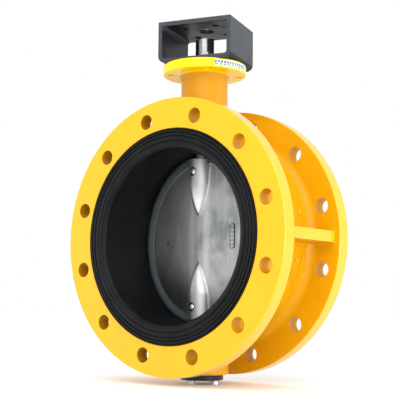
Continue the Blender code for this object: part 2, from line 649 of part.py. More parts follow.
def rim_label():
    """Thin label around part of the top flange's rim."""
    inner = TOP_FLANGE + FIT_GAP
    outer = inner + LABEL_THICKNESS
    middle = TOP_FACE_HEIGHT - TOP_FLANGE_THICKNESS / 2
    low, high = middle - LABEL_HEIGHT / 2, middle + LABEL_HEIGHT / 2
    profile = [(inner, low), (outer, low), (outer, high), (inner, high)]
    turned("rim_label", profile, "label_film", SMALL_FACETS, "Z", LABEL_START, LABEL_END - LABEL_START)


def main():
    """Build the whole valve."""
    for item in list(bpy.data.objects):
        bpy.data.objects.remove(item, do_unlink=True)
    axle = bpy.data.objects.new("disc_axle", None)
    bpy.context.scene.collection.objects.link(axle)
    axle.rotation_euler = (0.0, 0.0, REST_ANGLE)
    valve_body()
    seat_liner()
    disc_group(axle)
    bearings()
    bottom_closure()
    actuator_bracket()
    rim_label()


main()
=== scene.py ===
"""Studio scene of a double-flanged, rubber-lined butterfly valve, built around its CAD frame.

The origin is the centre of the disc. The pipe runs along Y, the stem stands along Z and the
actuator bracket is at the top. All sizes are in metres.
"""
import sys

import json
import logging
import math
from contextlib import contextmanager
from dataclasses import dataclass
from enum import Enum
from typing import Callable, Iterator, Optional, Sequence, Union

import bmesh
import bpy
from mathutils import Matrix, Vector

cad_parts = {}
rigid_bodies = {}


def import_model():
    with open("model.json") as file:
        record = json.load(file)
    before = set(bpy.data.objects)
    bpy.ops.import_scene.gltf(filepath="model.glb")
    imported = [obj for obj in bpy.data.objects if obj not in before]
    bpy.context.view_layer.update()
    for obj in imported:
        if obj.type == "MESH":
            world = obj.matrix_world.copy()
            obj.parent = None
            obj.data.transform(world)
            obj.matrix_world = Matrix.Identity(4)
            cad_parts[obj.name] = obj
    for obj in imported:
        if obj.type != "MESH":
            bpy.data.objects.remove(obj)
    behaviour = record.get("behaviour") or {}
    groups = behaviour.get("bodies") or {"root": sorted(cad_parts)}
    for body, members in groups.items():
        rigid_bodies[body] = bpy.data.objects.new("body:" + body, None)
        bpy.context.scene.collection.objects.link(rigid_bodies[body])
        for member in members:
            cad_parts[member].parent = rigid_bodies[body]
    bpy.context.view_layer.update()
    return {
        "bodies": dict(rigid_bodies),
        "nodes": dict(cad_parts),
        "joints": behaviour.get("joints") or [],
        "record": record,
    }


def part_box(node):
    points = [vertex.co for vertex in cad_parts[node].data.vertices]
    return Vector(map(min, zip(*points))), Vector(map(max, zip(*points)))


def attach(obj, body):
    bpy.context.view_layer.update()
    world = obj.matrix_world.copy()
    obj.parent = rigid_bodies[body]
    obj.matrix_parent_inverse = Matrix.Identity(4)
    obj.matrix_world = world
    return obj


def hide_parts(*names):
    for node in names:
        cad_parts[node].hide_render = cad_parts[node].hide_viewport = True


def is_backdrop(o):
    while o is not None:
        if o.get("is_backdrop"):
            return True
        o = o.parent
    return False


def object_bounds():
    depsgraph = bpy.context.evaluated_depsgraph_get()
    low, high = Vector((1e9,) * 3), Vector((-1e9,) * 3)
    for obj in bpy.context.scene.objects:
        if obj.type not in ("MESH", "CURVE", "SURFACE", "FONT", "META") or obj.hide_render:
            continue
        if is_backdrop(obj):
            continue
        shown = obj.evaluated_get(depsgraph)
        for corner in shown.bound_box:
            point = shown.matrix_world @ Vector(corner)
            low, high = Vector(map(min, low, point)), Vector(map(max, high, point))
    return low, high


LOG = logging.getLogger("valve")

Point = tuple[float, float]
Place = tuple[float, float, float]
Colour = tuple[float, float, float, float]
Piece = bpy.types.Object

FIT_GAP = 0.0003
SHADE_ANGLE = math.radians(32.0)
MERGE_DISTANCE = 1e-6
OVERSHOOT = 0.001                 # how far a cutter runs past the solid
FACING = 0.9                      # least cosine of a face that looks along an axis


class Body(Enum):
    """The CAD bodies that pieces ride on."""

    SHELL = "valve_shell"
    DISC = "disc_assembly"


class Slot(Enum):
    """The material slots of the CAD record."""

    PAINT = "yellow_paint"
    RUBBER = "black_rubber"
    CAST = "cast_disc"
    STEM = "stem_steel"
    BRONZE = "bronze"
    BLACK = "black_steel"
    ZINC = "zinc"
    PTFE = "white_ptfe"
    FILM = "label_film"
    GASKET = "gasket_fibre"


class Boolean(Enum):
    """How one solid is combined with another."""

    UNITE = "UNION"
    CUT = "DIFFERENCE"
    KEEP_COMMON = "INTERSECT"


# ================================================================ shader toolkit
class Signal:
    """An output socket of a material, whose arithmetic adds Math nodes."""

    def __init__(self, board: "Board", socket: bpy.types.NodeSocket) -> None:
        """Keep the socket and the board that it belongs to."""
        self.board = board
        self.socket = socket

    def _math(self, operation: str, first: "Operand", second: "Operand") -> "Signal":
        """Add one Math node.

        Args:
            operation: the node's operation.
            first: its first value.
            second: its second value.

        Returns:
            The node's result.
        """
        return self.board.node("ShaderNodeMath", {"operation": operation}, {0: first, 1: second})

    def __add__(self, other: "Operand") -> "Signal":
        """Sum."""
        return self._math("ADD", self, other)

    def __radd__(self, other: "Operand") -> "Signal":
        """Reflected sum."""
        return self._math("ADD", other, self)

    def __sub__(self, other: "Operand") -> "Signal":
        """Difference."""
        return self._math("SUBTRACT", self, other)

    def __rsub__(self, other: "Operand") -> "Signal":
        """Reflected difference."""
        return self._math("SUBTRACT", other, self)

    def __mul__(self, other: "Operand") -> "Signal":
        """Product."""
        return self._math("MULTIPLY", self, other)

    def __rmul__(self, other: "Operand") -> "Signal":
        """Reflected product."""
        return self._math("MULTIPLY", other, self)

    def __truediv__(self, other: "Operand") -> "Signal":
        """Quotient."""
        return self._math("DIVIDE", self, other)

    def __rtruediv__(self, other: "Operand") -> "Signal":
        """Reflected quotient."""
        return self._math("DIVIDE", other, self)

    def __pow__(self, other: "Operand") -> "Signal":
        """Power."""
        return self._math("POWER", self, other)

    def magnitude(self) -> "Signal":
        """Value without its sign."""
        return self._math("ABSOLUTE", self, 0.0)

    def above(self, limit: float) -> "Signal":
        """One where the value is over the limit, zero elsewhere."""
        return self._math("GREATER_THAN", self, limit)

    def most(self, other: "Operand") -> "Signal":
        """The larger of two values."""
        return self._math("MAXIMUM", self, other)

    def part(self, name: str) -> "Signal":
        """Another output of the node that made this signal."""
        return Signal(self.board, self.board.find(self.socket.node.outputs, name))


Operand = Union[Signal, float]
Value = Union[Signal, float, Colour, Place]


class Board:
    """The node tree of one material, with short ways to add its nodes."""

    def __init__(self, material: bpy.types.Material) -> None:
        """Keep the tree and its Principled shader."""
        self.tree = material.node_tree
        self.shader = next(node for node in self.tree.nodes if node.type == "BSDF_PRINCIPLED")

    @staticmethod
    def find(sockets: bpy.types.bpy_prop_collection, key: Union[int, str]) -> bpy.types.NodeSocket:
        """Return a socket by its index, identifier or name.

        Args:
            sockets: a node's inputs or outputs.
            key: index, identifier or name.

        Returns:
            The socket.
        """
        if isinstance(key, int):
            return sockets[key]
        for socket in sockets:
            if key == socket.identifier:
                return socket
        return sockets[key]

    def node(self, kind: str, settings: Optional[dict] = None, sockets: Optional[dict] = None,
             output: Union[int, str] = 0) -> Signal:
        """Add a node of any type.

        Args:
            kind: the node's type.
            settings: its settings, which are set first; "stops" fills a colour ramp.
            sockets: values or signals for its inputs, by index, identifier or name.
            output: the output that is returned.

        Returns:
            The chosen output.
        """
        made = self.tree.nodes.new(kind)
        for name, value in (settings or {}).items():
            if name == "stops":
                self._fill_ramp(made.color_ramp, value)
            else:
                setattr(made, name, value)
        for key, value in (sockets or {}).items():
            self.plug(self.find(made.inputs, key), value)
        return Signal(self, self.find(made.outputs, output))

    def plug(self, socket: bpy.types.NodeSocket, value: Value) -> None:
        """Link a signal to a socket, or set the socket's own value."""
        if isinstance(value, Signal):
            self.tree.links.new(value.socket, socket)
        else:
            socket.default_value = value

    @staticmethod
    def _fill_ramp(ramp: bpy.types.ColorRamp, stops: Sequence[tuple[float, Colour]]) -> None:
        """Replace the stops of a colour ramp."""
        while len(ramp.elements) > len(stops):
            ramp.elements.remove(ramp.elements[-1])
        while len(ramp.elements) < len(stops):
            ramp.elements.new(1.0)
        for element, (position, colour) in zip(ramp.elements, stops):
            element.position = position
            element.color = colour

    def place(self) -> Signal:
        """Position on the object, in metres."""
        return self.node("ShaderNodeTexCoord", output="Object")

    def split(self, vector: Signal) -> tuple[Signal, Signal, Signal]:
        """The three parts of a vector."""
        first = self.node("ShaderNodeSeparateXYZ", sockets={"Vector": vector}, output="X")
        return first, first.part("Y"), first.part("Z")

    def stretch(self, vector: Signal, factors: Place) -> Signal:
        """Multiply a vector part by part."""
        return self.node("ShaderNodeVectorMath", {"operation": "MULTIPLY"}, {0: vector, 1: factors})

    def noise(self, vector: Signal, scale: float, detail: float = 2.0, rough: float = 0.5) -> Signal:
        """Smooth noise from 0 to 1.

        Args:
            vector: where it is read.
            scale: repeats per metre.
            detail: octaves.
            rough: share of the finer octaves.

        Returns:
            The noise.
        """
        return self.node("ShaderNodeTexNoise", {"noise_dimensions": "3D"},
                         {"Vector": vector, "Scale": scale, "Detail": detail, "Roughness": rough},
                         "Fac")

    def ramp(self, value: Operand, low: float, high: float, start: float = 0.0,
             end: float = 1.0) -> Signal:
        """Smooth step of a value.

        Args:
            value: what is mapped.
            low: value that gives the start.
            high: value that gives the end.
            start: result below low.
            end: result above high.

        Returns:
            The mapped value.
        """
        return self.node("ShaderNodeMapRange", {"interpolation_type": "SMOOTHSTEP"},
                         {"Value": value, "From Min": low, "From Max": high, "To Min": start,
                          "To Max": end}, "Result")

    def blend(self, mask: Operand, first: Value, second: Value) -> Signal:
        """Colour that goes from the first to the second as the mask goes from 0 to 1."""
        return self.node("ShaderNodeMix", {"data_type": "RGBA", "clamp_factor": True},
                         {"Factor_Float": mask, "A_Color": first, "B_Color": second},
                         "Result_Color")

    def bump(self, height: Signal, distance: float, strength: float = 1.0,
             normal: Optional[Signal] = None) -> Signal:
        """Surface relief.

        Args:
            height: relief from 0 to 1.
            distance: its depth in metres.
            strength: how much of it is used.
            normal: relief that it is added to.

        Returns:
            The new normal.
        """
        sockets = {"Height": height, "Distance": distance, "Strength": strength}
        if normal is not None:
            sockets["Normal"] = normal
        return self.node("ShaderNodeBump", sockets=sockets, output="Normal")

    def surface(self, **values: Value) -> None:
        """Set or link the shader's sockets; underscores stand for spaces in their names."""
        for name, value in values.items():
            words = " ".join(word.upper() if word == "ior" else word.capitalize()
                             for word in name.split("_"))
            self.plug(self.shader.inputs[words], value)


def grey(level: float) -> Colour:
    """A neutral colour."""
    return (level, level, level, 1.0)


# ================================================================ finishes
@dataclass(frozen=True)
class Finish:
    """A surface finish with a procedural material of its own."""

    name: str
    slot: Slot

    def material(self) -> bpy.types.Material:
        """Return the finish's material, which is made when first asked for."""
        known = bpy.data.materials.get(self.name)
        if known is not None:
            return known
        made = bpy.data.materials.new(self.name)
        made.use_nodes = True
        self.lay(Board(made))
        return made

    def lay(self, board: Board) -> None:
        """Wire the finish's nodes on a board."""
        raise NotImplementedError


@dataclass(frozen=True)
class GlossPaint(Finish):
    """Thick gloss paint on cast iron, smooth on the machined faces and lumpy elsewhere."""

    colour: Colour
    sag_colour: Colour
    cast_shade_colour: Colour
    neck_shade_colour: Colour
    top_highlight_colour: Colour
    hole_shade_colour: Colour
    chip_colour: Colour
    roughness: float
    machined_distance: float = 0.080
    flange_back: float = 0.058
    rim_radius: float = 0.200
    rib_edge: float = 0.192
    top_flange: float = 0.247
    bolt_circle: float = 0.175
    bolt_hole: float = 0.011
    mark_radius: float = 0.1518

    def lay(self, board: Board) -> None:
        """Wire colour drift, orange peel, cast skin, rubbed spots on the rims, painted shade on the cast
        surfaces, the neck and inside the bolt holes, and painted highlights on the top flange and the
        cast marks.
        """
        place = board.place()
        x, y, z = board.split(place)
        side = y.magnitude()
        radius = (x * x + z * z) ** 0.5
        face = board.ramp(side, self.machined_distance - 0.0015, self.machined_distance - 0.0003)
        rim = (board.ramp(radius, self.rim_radius - 0.0014, self.rim_radius - 0.0006)
               * board.ramp(radius, self.rim_radius + 0.0004, self.rim_radius + 0.0012, 1.0, 0.0))
        rib = (board.ramp(x.magnitude(), self.rib_edge - 0.0014, self.rib_edge - 0.0006)
               * board.ramp(z.magnitude(), 0.0085, 0.0100, 1.0, 0.0)
               * board.ramp(side, self.flange_back - 0.004, self.flange_back - 0.001, 1.0, 0.0))
        top = board.ramp(z, self.top_flange - 0.004, self.top_flange - 0.0002)
        cast = 1.0 - face.most(rim).most(rib).most(top)
        drift = board.noise(place, 14.0, 3.0)
        sag = board.noise(board.stretch(place, (1.0, 1.0, 0.35)), 60.0, 2.0)
        shade = board.ramp(drift * 0.6 + sag * 0.4, 0.35, 0.68)
        colour = board.blend(shade * 0.6, self.colour, self.sag_colour)
        # painted highlight: the top flange gets a lighter yellow, as if lit from above
        colour = board.blend(top, colour, self.top_highlight_colour)
        # painted shade: the cast surfaces between and behind the flanges get a deeper orange, as if in
        # shade
        colour = board.blend(cast * (0.80 + 0.20 * shade), colour, self.cast_shade_colour)
        # painted shade: the neck above the barrel gets a still darker orange
        colour = board.blend(cast * board.ramp(z, 0.165, 0.200) * 0.9, colour, self.neck_shade_colour)
        # painted shade: the walls of the bolt holes are darkened, most on the -X side
        hole = self.inside_holes(board, x, z, radius, side)
        colour = board.blend(hole * board.ramp(x, -0.02, 0.08, 0.75, 0.10), colour,
                             self.hole_shade_colour)
        # painted highlight: the crests of the raised cast marks are set back to the light face colour
        mark_crest_highlight = (board.ramp((radius - self.mark_radius).magnitude(), 0.0009, 0.0012, 1.0, 0.0)
                  * board.ramp(side, 0.0425, 0.0440, 1.0, 0.0)
                  * board.ramp(z.magnitude(), 0.020, 0.024))
        colour = board.blend(mark_crest_highlight * 0.7, colour, self.colour)
        corner = (board.ramp((radius - self.rim_radius).magnitude(), 0.0, 0.0016, 1.0, 0.0)
                  * board.ramp((side - self.machined_distance).magnitude(), 0.0, 0.0016, 1.0, 0.0))
        rub = corner * board.ramp(board.noise(place, 420.0, 3.0), 0.66, 0.70)
        colour = board.blend(rub * 0.5, colour, self.chip_colour)
        peel = board.noise(place, 520.0, 2.0)
        skin = board.noise(place, 170.0, 4.0, 0.6)
        lumps = board.noise(place, 36.0, 2.0)
        relief = board.bump(peel, 0.00022, 0.35)
        relief = board.bump(skin * cast, 0.0009, 0.35, relief)
        relief = board.bump(lumps * cast, 0.0022, 0.25, relief)
        rough = self.roughness + 0.10 * (drift - 0.5) + 0.10 * cast * skin + 0.25 * rub
        coat = 0.75 * rim.most(rib) + 0.42 * face
        board.surface(base_color=colour, roughness=rough, normal=relief, specular_ior_level=0.22,
                      coat_roughness=0.16, coat_weight=coat)

    def inside_holes(self, board: Board, x: Signal, z: Signal, radius: Signal,
                     side: Signal) -> Signal:
        """Mask of the walls of the twelve bolt holes of each flange.

        Args:
            board: the material's board.
            x: first part of the place.
            z: third part of the place.
            radius: distance from the pipe's axis.
            side: distance from the middle, along the pipe.

        Returns:
            One on the walls, zero elsewhere.
        """
        spacing = math.tau / 12
        turn = board.node("ShaderNodeMath", {"operation": "ARCTAN2"}, {0: z, 1: x})
        share = board.node("ShaderNodeMath", {"operation": "FRACT"}, {0: turn / spacing + 24.0})
        across = (share - 0.5) * (spacing * self.bolt_circle)
        out = radius - self.bolt_circle
        distance = (across * across + out * out) ** 0.5
        wall = board.ramp(distance, self.bolt_hole + 0.0001, self.bolt_hole + 0.0006, 1.0, 0.0)
        return wall * board.ramp(side, self.machined_distance - 0.0006,
                                 self.machined_distance - 0.0001, 1.0, 0.0)


@dataclass(frozen=True)
class MouldedRubber(Finish):
    """Black moulded rubber with a fine skin, a dull bloom and faint turning marks."""

    colour: Colour
    bloom_colour: Colour
    roughness: float

    def lay(self, board: Board) -> None:
        """Wire the bloom, fine skin and concentric mould marks."""
        place = board.place()
        x, _, z = board.split(place)
        radius = (x * x + z * z) ** 0.5
        bloom = board.ramp(board.noise(place, 22.0, 4.0, 0.6), 0.42, 0.75)
        dust = board.ramp(board.noise(place, 900.0, 2.0), 0.62, 0.80)
        colour = board.blend(bloom * 0.5 + dust * 0.25, self.colour, self.bloom_colour)
        marks = board.noise(board.node("ShaderNodeCombineXYZ",
                                       sockets={"X": radius * 40.0, "Y": 0.0, "Z": 0.0}, output="Vector"),
                            45.0, 3.0)
        skin = board.noise(place, 1500.0, 2.0)
        relief = board.bump(marks, 0.00030, 0.45)
        relief = board.bump(skin, 0.00012, 0.5, relief)
        rough = self.roughness + 0.16 * (bloom - 0.5) + 0.08 * (skin - 0.5)
        board.surface(base_color=colour, roughness=rough, normal=relief, specular_ior_level=0.15)


@dataclass(frozen=True)
class CastSteel(Finish):
    """Fettled and blasted cast steel, with lengthwise grinding streaks, soft stains and painted light and
    shade.
    """

    colour: Colour
    stain_colour: Colour
    rim_shade_colour: Colour
    hub_and_band_highlight_colour: Colour
    pin_shade_and_mark_colour: Colour
    painted_shade_colour: Colour
    roughness: float
    rim_radius: float = 0.1135
    turn: float = math.radians(-11.0)
    pin_height: float = 0.100
    pin_ring: float = 0.0060
    pad: tuple[float, float, float, float] = (0.0717, 0.0010, 0.0053, 0.0175)
    mark: Point = (-0.0757, -0.0022)

    def lay(self, board: Board) -> None:
        """Wire stains, streaks along the stem, a fine blasted grain, painted shade and painted
        highlights.
        """
        place = board.place()
        streak = board.noise(board.stretch(place, (1.0, 1.0, 0.06)), 260.0, 4.0, 0.65)
        broad = board.noise(board.stretch(place, (1.0, 1.0, 0.30)), 34.0, 3.0)
        stain = board.ramp(board.noise(place, 26.0, 4.0, 0.6), 0.40, 0.72)
        mask = board.ramp(broad * 0.40 + stain * 0.25 + streak * 0.35, 0.30, 0.70)
        colour = board.blend(mask, self.colour, self.stain_colour)
        x, y, z = board.split(place)
        across = x * math.cos(self.turn) + y * math.sin(self.turn)
        # painted shade: the disc face darkens towards +X, and more deeply over its lower -X part
        shade = board.ramp(across, 0.005, 0.075) * 0.30
        shade = shade.most(board.ramp(across * -0.5 + z * -1.5, 0.060, 0.150) * 0.85)
        colour = board.blend(shade * (0.8 + 0.4 * streak), colour, self.painted_shade_colour)
        # painted highlight: two lighter bands run on either side of the stem line
        highlight_bands = board.ramp((across.magnitude() - 0.016).magnitude(), 0.001, 0.012, 1.0, 0.0)
        colour = board.blend(highlight_bands * streak * 0.5, colour, self.hub_and_band_highlight_colour)
        depth = (y * math.cos(self.turn) - x * math.sin(self.turn)).magnitude()
        hub = board.ramp(depth, 0.0092, 0.0125) * board.ramp(across.magnitude(), 0.026, 0.030,
                                                             1.0, 0.0)
        # painted highlight on the hubs, strongest on the upper hub near its middle
        hub_highlight = hub * board.ramp((z - 0.030).magnitude(), 0.015, 0.050, 1.0, 0.25)
        # painted shade: the top part of the upper hub is darkened
        colour = board.blend(hub * board.ramp(z, 0.050, 0.085) * 0.75, colour, self.stain_colour)
        colour = board.blend(hub_highlight * (0.60 + 0.5 * streak), colour, self.hub_and_band_highlight_colour)
        # painted shade: the rim band is made dark and non-metallic
        rim = board.ramp((x * x + y * y + z * z) ** 0.5, self.rim_radius - 0.0002,
                         self.rim_radius + 0.0010) * (1.0 - hub)
        colour = board.blend(rim, colour, self.rim_shade_colour)
        pits = board.ramp(board.noise(place, 700.0, 3.0), 0.68, 0.78)
        colour = board.blend(pits * 0.20, colour, grey(0.16))
        # painted shade round the pins, with darker lines round and across the number pad and a darker
        # spot on the ring mark
        colour = board.blend(self.pin_shade_and_marks(board, x, y, z), colour, self.pin_shade_and_mark_colour)
        grain = board.noise(place, 1100.0, 3.0)
        lumps = board.noise(place, 48.0, 2.0)
        relief = board.bump(grain, 0.00016, 0.35)
        relief = board.bump(streak, 0.00014, 0.35, relief)
        relief = board.bump(lumps, 0.0011, 0.22, relief)
        rough = (self.roughness + 0.14 * (stain - 0.5) + 0.12 * (streak - 0.5) - 0.10 * hub_highlight
                 + 0.15 * rim)
        board.surface(base_color=colour, roughness=rough, normal=relief,
                      metallic=0.94 - 0.94 * rim, specular_ior_level=0.3)


    def pin_shade_and_marks(self, board: Board, x: Signal, y: Signal, z: Signal) -> Signal:
        """Mask of the painted shade round the pins, of darker lines on the number pad and of a darker
        spot on the small ring mark.

        Args:
            board: the material's board.
            x: first part of the place.
            y: second part of the place.
            z: third part of the place.

        Returns:
            One where these marks sit, zero elsewhere.
        """
        across = x * math.cos(self.turn) + y * math.sin(self.turn)
        depth = y * math.cos(self.turn) - x * math.sin(self.turn)
        lift = z.magnitude() - self.pin_height
        pin = (across * across + lift * lift) ** 0.5
        # painted shade: a dark ring round each pin, where the gap would be in shade
        pin_ring = board.ramp((pin - self.pin_ring).magnitude(), 0.0004, 0.0012, 1.0, 0.0)
        middle, height, half, reach = self.pad
        corner = 0.0038
        beside, above = (across - middle).magnitude(), (z - height).magnitude()
        wide, tall = (beside - (half - corner)).most(0.0), (above - (reach - corner)).most(0.0)
        edge = ((wide * wide + tall * tall) ** 0.5 - corner).magnitude()
        cell = board.node("ShaderNodeMath", {"operation": "FRACT"}, {0: (z - height) / 0.0060 + 20.0})
        cells = (board.ramp((cell - 0.5).magnitude(), 0.36, 0.44)
                 * board.ramp(beside, half * 0.55, half * 0.70, 1.0, 0.0)
                 * board.ramp(above, reach - 0.004, reach - 0.003, 1.0, 0.0))
        frame = board.ramp(edge, 0.0003, 0.0009, 1.0, 0.0).most(cells * 0.7)
        beside, above = across - self.mark[0], z - self.mark[1]
        spot = board.ramp((beside * beside + above * above) ** 0.5, 0.0022, 0.0032, 1.0, 0.0)
        front = board.ramp(depth, -0.004, -0.002, 1.0, 0.0)
        return front * pin_ring.most(frame * 0.8).most(spot * 0.8)


@dataclass(frozen=True)
class TurnedMetal(Finish):
    """Bare or plated metal with turning marks around the Z axis and light handling marks."""

    colour: Colour
    stain_colour: Colour
    roughness: float
    marks: float = 900.0

    def lay(self, board: Board) -> None:
        """Wire the turning marks, stains and smudges."""
        place = board.place()
        rings = board.noise(board.stretch(place, (0.02, 0.02, 1.0)), self.marks, 3.0, 0.6)
        stain = board.ramp(board.noise(place, 90.0, 4.0, 0.6), 0.42, 0.74)
        colour = board.blend(stain * 0.6 + rings * 0.2, self.colour, self.stain_colour)
        grain = board.noise(place, 1600.0, 2.0)
        relief = board.bump(rings, 0.00010, 0.5)
        relief = board.bump(grain, 0.00006, 0.4, relief)
        rough = self.roughness + 0.14 * (stain - 0.4) + 0.08 * (rings - 0.5)
        board.surface(base_color=colour, roughness=rough, normal=relief, metallic=1.0)


@dataclass(frozen=True)
class SatinPaint(Finish):
    """Thin satin paint on rolled steel, dusty, with a painted sheen on the outer faces."""

    colour: Colour
    dust_colour: Colour
    roughness: float
    sheen_and_weld_colour: Colour = (0.05, 0.05, 0.055, 1.0)
    outside: Point = (1.0, 1.0)
    turn: float = 0.0
    shift: Point = (0.0, 0.0)
    weld: Place = (1.0, 1.0, 0.001)

    def lay(self, board: Board) -> None:
        """Wire dust, a painted sheen on the outer faces, a lighter weld bead and the grain of the sprayed
        coat.
        """
        place = board.place()
        cloud = board.noise(place, 38.0, 4.0, 0.6)
        dust = board.ramp(cloud, 0.45, 0.72)
        speck = board.ramp(board.noise(place, 1300.0, 2.0), 0.68, 0.80)
        colour = board.blend(dust * 0.5 + speck * 0.35, self.colour, self.dust_colour)
        x, y, z = board.split(place)
        x, y = x - self.shift[0], y - self.shift[1]
        across = (x * math.cos(self.turn) + y * math.sin(self.turn)).magnitude()
        along = (y * math.cos(self.turn) - x * math.sin(self.turn)).magnitude()
        # painted sheen: the outer faces get a lighter bluish grey, as if reflecting the room
        outer = board.ramp(across - self.outside[0], -0.0006, -0.0001).most(
            board.ramp(along - self.outside[1], -0.0006, -0.0001))
        colour = board.blend(outer * (0.6 + 0.4 * cloud), colour, self.sheen_and_weld_colour)
        # the weld bead is made lighter, in the same colour as the outer faces
        beside, below = across - self.weld[0], z - self.weld[1]
        weld = board.ramp((beside * beside + below * below) ** 0.5, self.weld[2] + 0.0002,
                          self.weld[2] + 0.0008, 1.0, 0.0)
        colour = board.blend(weld * (0.5 + 0.5 * cloud), colour, self.sheen_and_weld_colour)
        grain = board.noise(place, 850.0, 3.0)
        scale = board.noise(place, 120.0, 2.0)
        relief = board.bump(grain, 0.00014, 0.45)
        relief = board.bump(scale, 0.00040, 0.25, relief)
        rough = self.roughness + 0.16 * (dust - 0.4) + 0.06 * (grain - 0.5)
        board.surface(base_color=colour, roughness=rough, normal=relief, specular_ior_level=0.16)


@dataclass(frozen=True)
class SoftSolid(Finish):
    """Dull uncoated material such as fibre sheet or white plastic."""

    colour: Colour
    mark_colour: Colour
    roughness: float
    grain_scale: float

    def lay(self, board: Board) -> None:
        """Wire mottling and a fine grain."""
        place = board.place()
        mottle = board.ramp(board.noise(place, self.grain_scale * 0.2, 4.0), 0.38, 0.70)
        colour = board.blend(mottle * 0.6, self.colour, self.mark_colour)
        grain = board.noise(place, self.grain_scale, 3.0)
        relief = board.bump(grain, 0.00015, 0.5)
        rough = self.roughness + 0.12 * (mottle - 0.5)
        board.surface(base_color=colour, roughness=rough, normal=relief)


@dataclass(frozen=True)
class PrintedFilm(Finish):
    """White label film with plain printed blocks that follow the flange's rim."""

    paper: Colour
    first_ink: Colour
    second_ink: Colour
    middle_height: float
    roughness: float = 0.30

    def lay(self, board: Board) -> None:
        """Wire two rows of plain blocks, by angle and by height."""
        place = board.place()
        x, y, z = board.split(place)
        turn = board.node("ShaderNodeMath", {"operation": "ARCTAN2"}, {0: y, 1: x})
        height = z - self.middle_height
        beat = board.node("ShaderNodeMath", {"operation": "FRACT"}, {0: turn * 13.0 + 20.0})
        block = beat.above(0.25)
        upper = block * board.ramp((height - 0.0013).magnitude(), 0.0017, 0.0020, 1.0, 0.0)
        fine = board.node("ShaderNodeMath", {"operation": "FRACT"}, {0: turn * 9.0 + 20.3})
        lower = fine.above(0.35) * board.ramp((height + 0.0024).magnitude(), 0.0010, 0.0013, 1.0,
                                              0.0)
        colour = board.blend(upper * 0.85, self.paper, self.first_ink)
        colour = board.blend(lower * 0.80, colour, self.second_ink)
        scuff = board.noise(place, 300.0, 3.0)
        colour = board.blend(board.ramp(scuff, 0.55, 0.80) * 0.25, colour, grey(0.45))
        relief = board.bump(board.noise(place, 500.0, 2.0), 0.00010, 0.3)
        board.surface(base_color=colour, roughness=self.roughness + 0.15 * (scuff - 0.5),
                      normal=relief)


# Of these colours, the cast, neck and hole colours are painted shade and the top colour is a painted
# highlight.
YELLOW = GlossPaint("gloss_yellow", Slot.PAINT, (0.80, 0.430, 0.003, 1.0),
                    (0.79, 0.395, 0.002, 1.0), (0.65, 0.310, 0.001, 1.0),
                    (0.53, 0.245, 0.001, 1.0), (0.90, 0.660, 0.006, 1.0),
                    (0.26, 0.120, 0.004, 1.0),
                    (0.72, 0.38, 0.05, 1.0), 0.30)
SEAT_RUBBER = MouldedRubber("seat_rubber", Slot.RUBBER, (0.0022, 0.0026, 0.0033, 1.0),
                            (0.010, 0.011, 0.014, 1.0), 0.46)
# Of these colours, the near-white fourth is a painted highlight on the hubs and two bands. The rim colour
# and the sixth are painted shade. The fifth is painted shade round the pins and darkens marks on the pad.
DISC_STEEL = CastSteel("blasted_disc", Slot.CAST, (0.41, 0.415, 0.41, 1.0),
                       (0.27, 0.285, 0.29, 1.0), (0.035, 0.043, 0.047, 1.0),
                       (0.84, 0.84, 0.83, 1.0), (0.02, 0.02, 0.021, 1.0),
                       (0.055, 0.060, 0.062, 1.0), 0.50)
GROUND_STEEL = TurnedMetal("ground_stem", Slot.STEM, (0.31, 0.31, 0.32, 1.0), (0.22, 0.22, 0.22, 1.0),
                           0.26)
PIN_STEEL = TurnedMetal("pin_steel", Slot.STEM, (0.88, 0.88, 0.87, 1.0), (0.72, 0.72, 0.70, 1.0), 0.50,
                        1500.0)
BUSH_BRONZE = TurnedMetal("bush_bronze", Slot.BRONZE, (0.56, 0.36, 0.14, 1.0), (0.36, 0.22, 0.09, 1.0),
                          0.36)
ZINC_PLATE = TurnedMetal("zinc_plate", Slot.ZINC, (0.60, 0.61, 0.64, 1.0), (0.46, 0.47, 0.47, 1.0),
                         0.34, 1400.0)
# Its lighter bluish fourth colour is a painted sheen on the bracket's outer faces and also lightens the
# weld bead.
BLACK_PAINT = SatinPaint("satin_black", Slot.BLACK, (0.008, 0.009, 0.010, 1.0),
                         (0.026, 0.028, 0.030, 1.0), 0.46, (0.056, 0.062, 0.072, 1.0),
                         (0.0575, 0.0495), math.radians(16.2), (0.0018, 0.0014),
                         (0.0515, 0.3173, 0.0056))
OILED_STEEL = SatinPaint("oiled_black", Slot.BLACK, (0.022, 0.022, 0.026, 1.0),
                         (0.085, 0.083, 0.090, 1.0), 0.34)
PTFE = SoftSolid("white_plastic", Slot.PTFE, (0.78, 0.78, 0.75, 1.0), (0.66, 0.65, 0.60, 1.0), 0.45,
                 900.0)
FIBRE = SoftSolid("gasket_sheet", Slot.GASKET, (0.045, 0.080, 0.060, 1.0), (0.10, 0.13, 0.10, 1.0),
                  0.80, 1800.0)
FILM = PrintedFilm("label_print", Slot.FILM, (0.66, 0.70, 0.70, 1.0), (0.008, 0.060, 0.20, 1.0),
                   (0.010, 0.130, 0.090, 1.0), 0.254)


# ================================================================ modelling bench
@contextmanager
def editing(piece: Piece, mode: str = "EDGE", start: str = "DESELECT") -> Iterator[None]:
    """Work on one piece in edit mode.

    Args:
        piece: the object.
        mode: what is selected, VERT, EDGE or FACE.
        start: SELECT or DESELECT, applied to everything first.

    Yields:
        Nothing; object mode returns afterwards.
    """
    hold(piece)
    bpy.ops.object.mode_set(mode="EDIT")
    bpy.ops.mesh.select_mode(type=mode)
    bpy.ops.mesh.select_all(action=start)
    yield
    bpy.ops.object.mode_set(mode="OBJECT")


def hold(*pieces: Piece) -> None:
    """Select only these objects and make the first one active."""
    bpy.ops.object.select_all(action="DESELECT")
    for piece in pieces:
        piece.select_set(True)
    bpy.context.view_layer.objects.active = pieces[0]


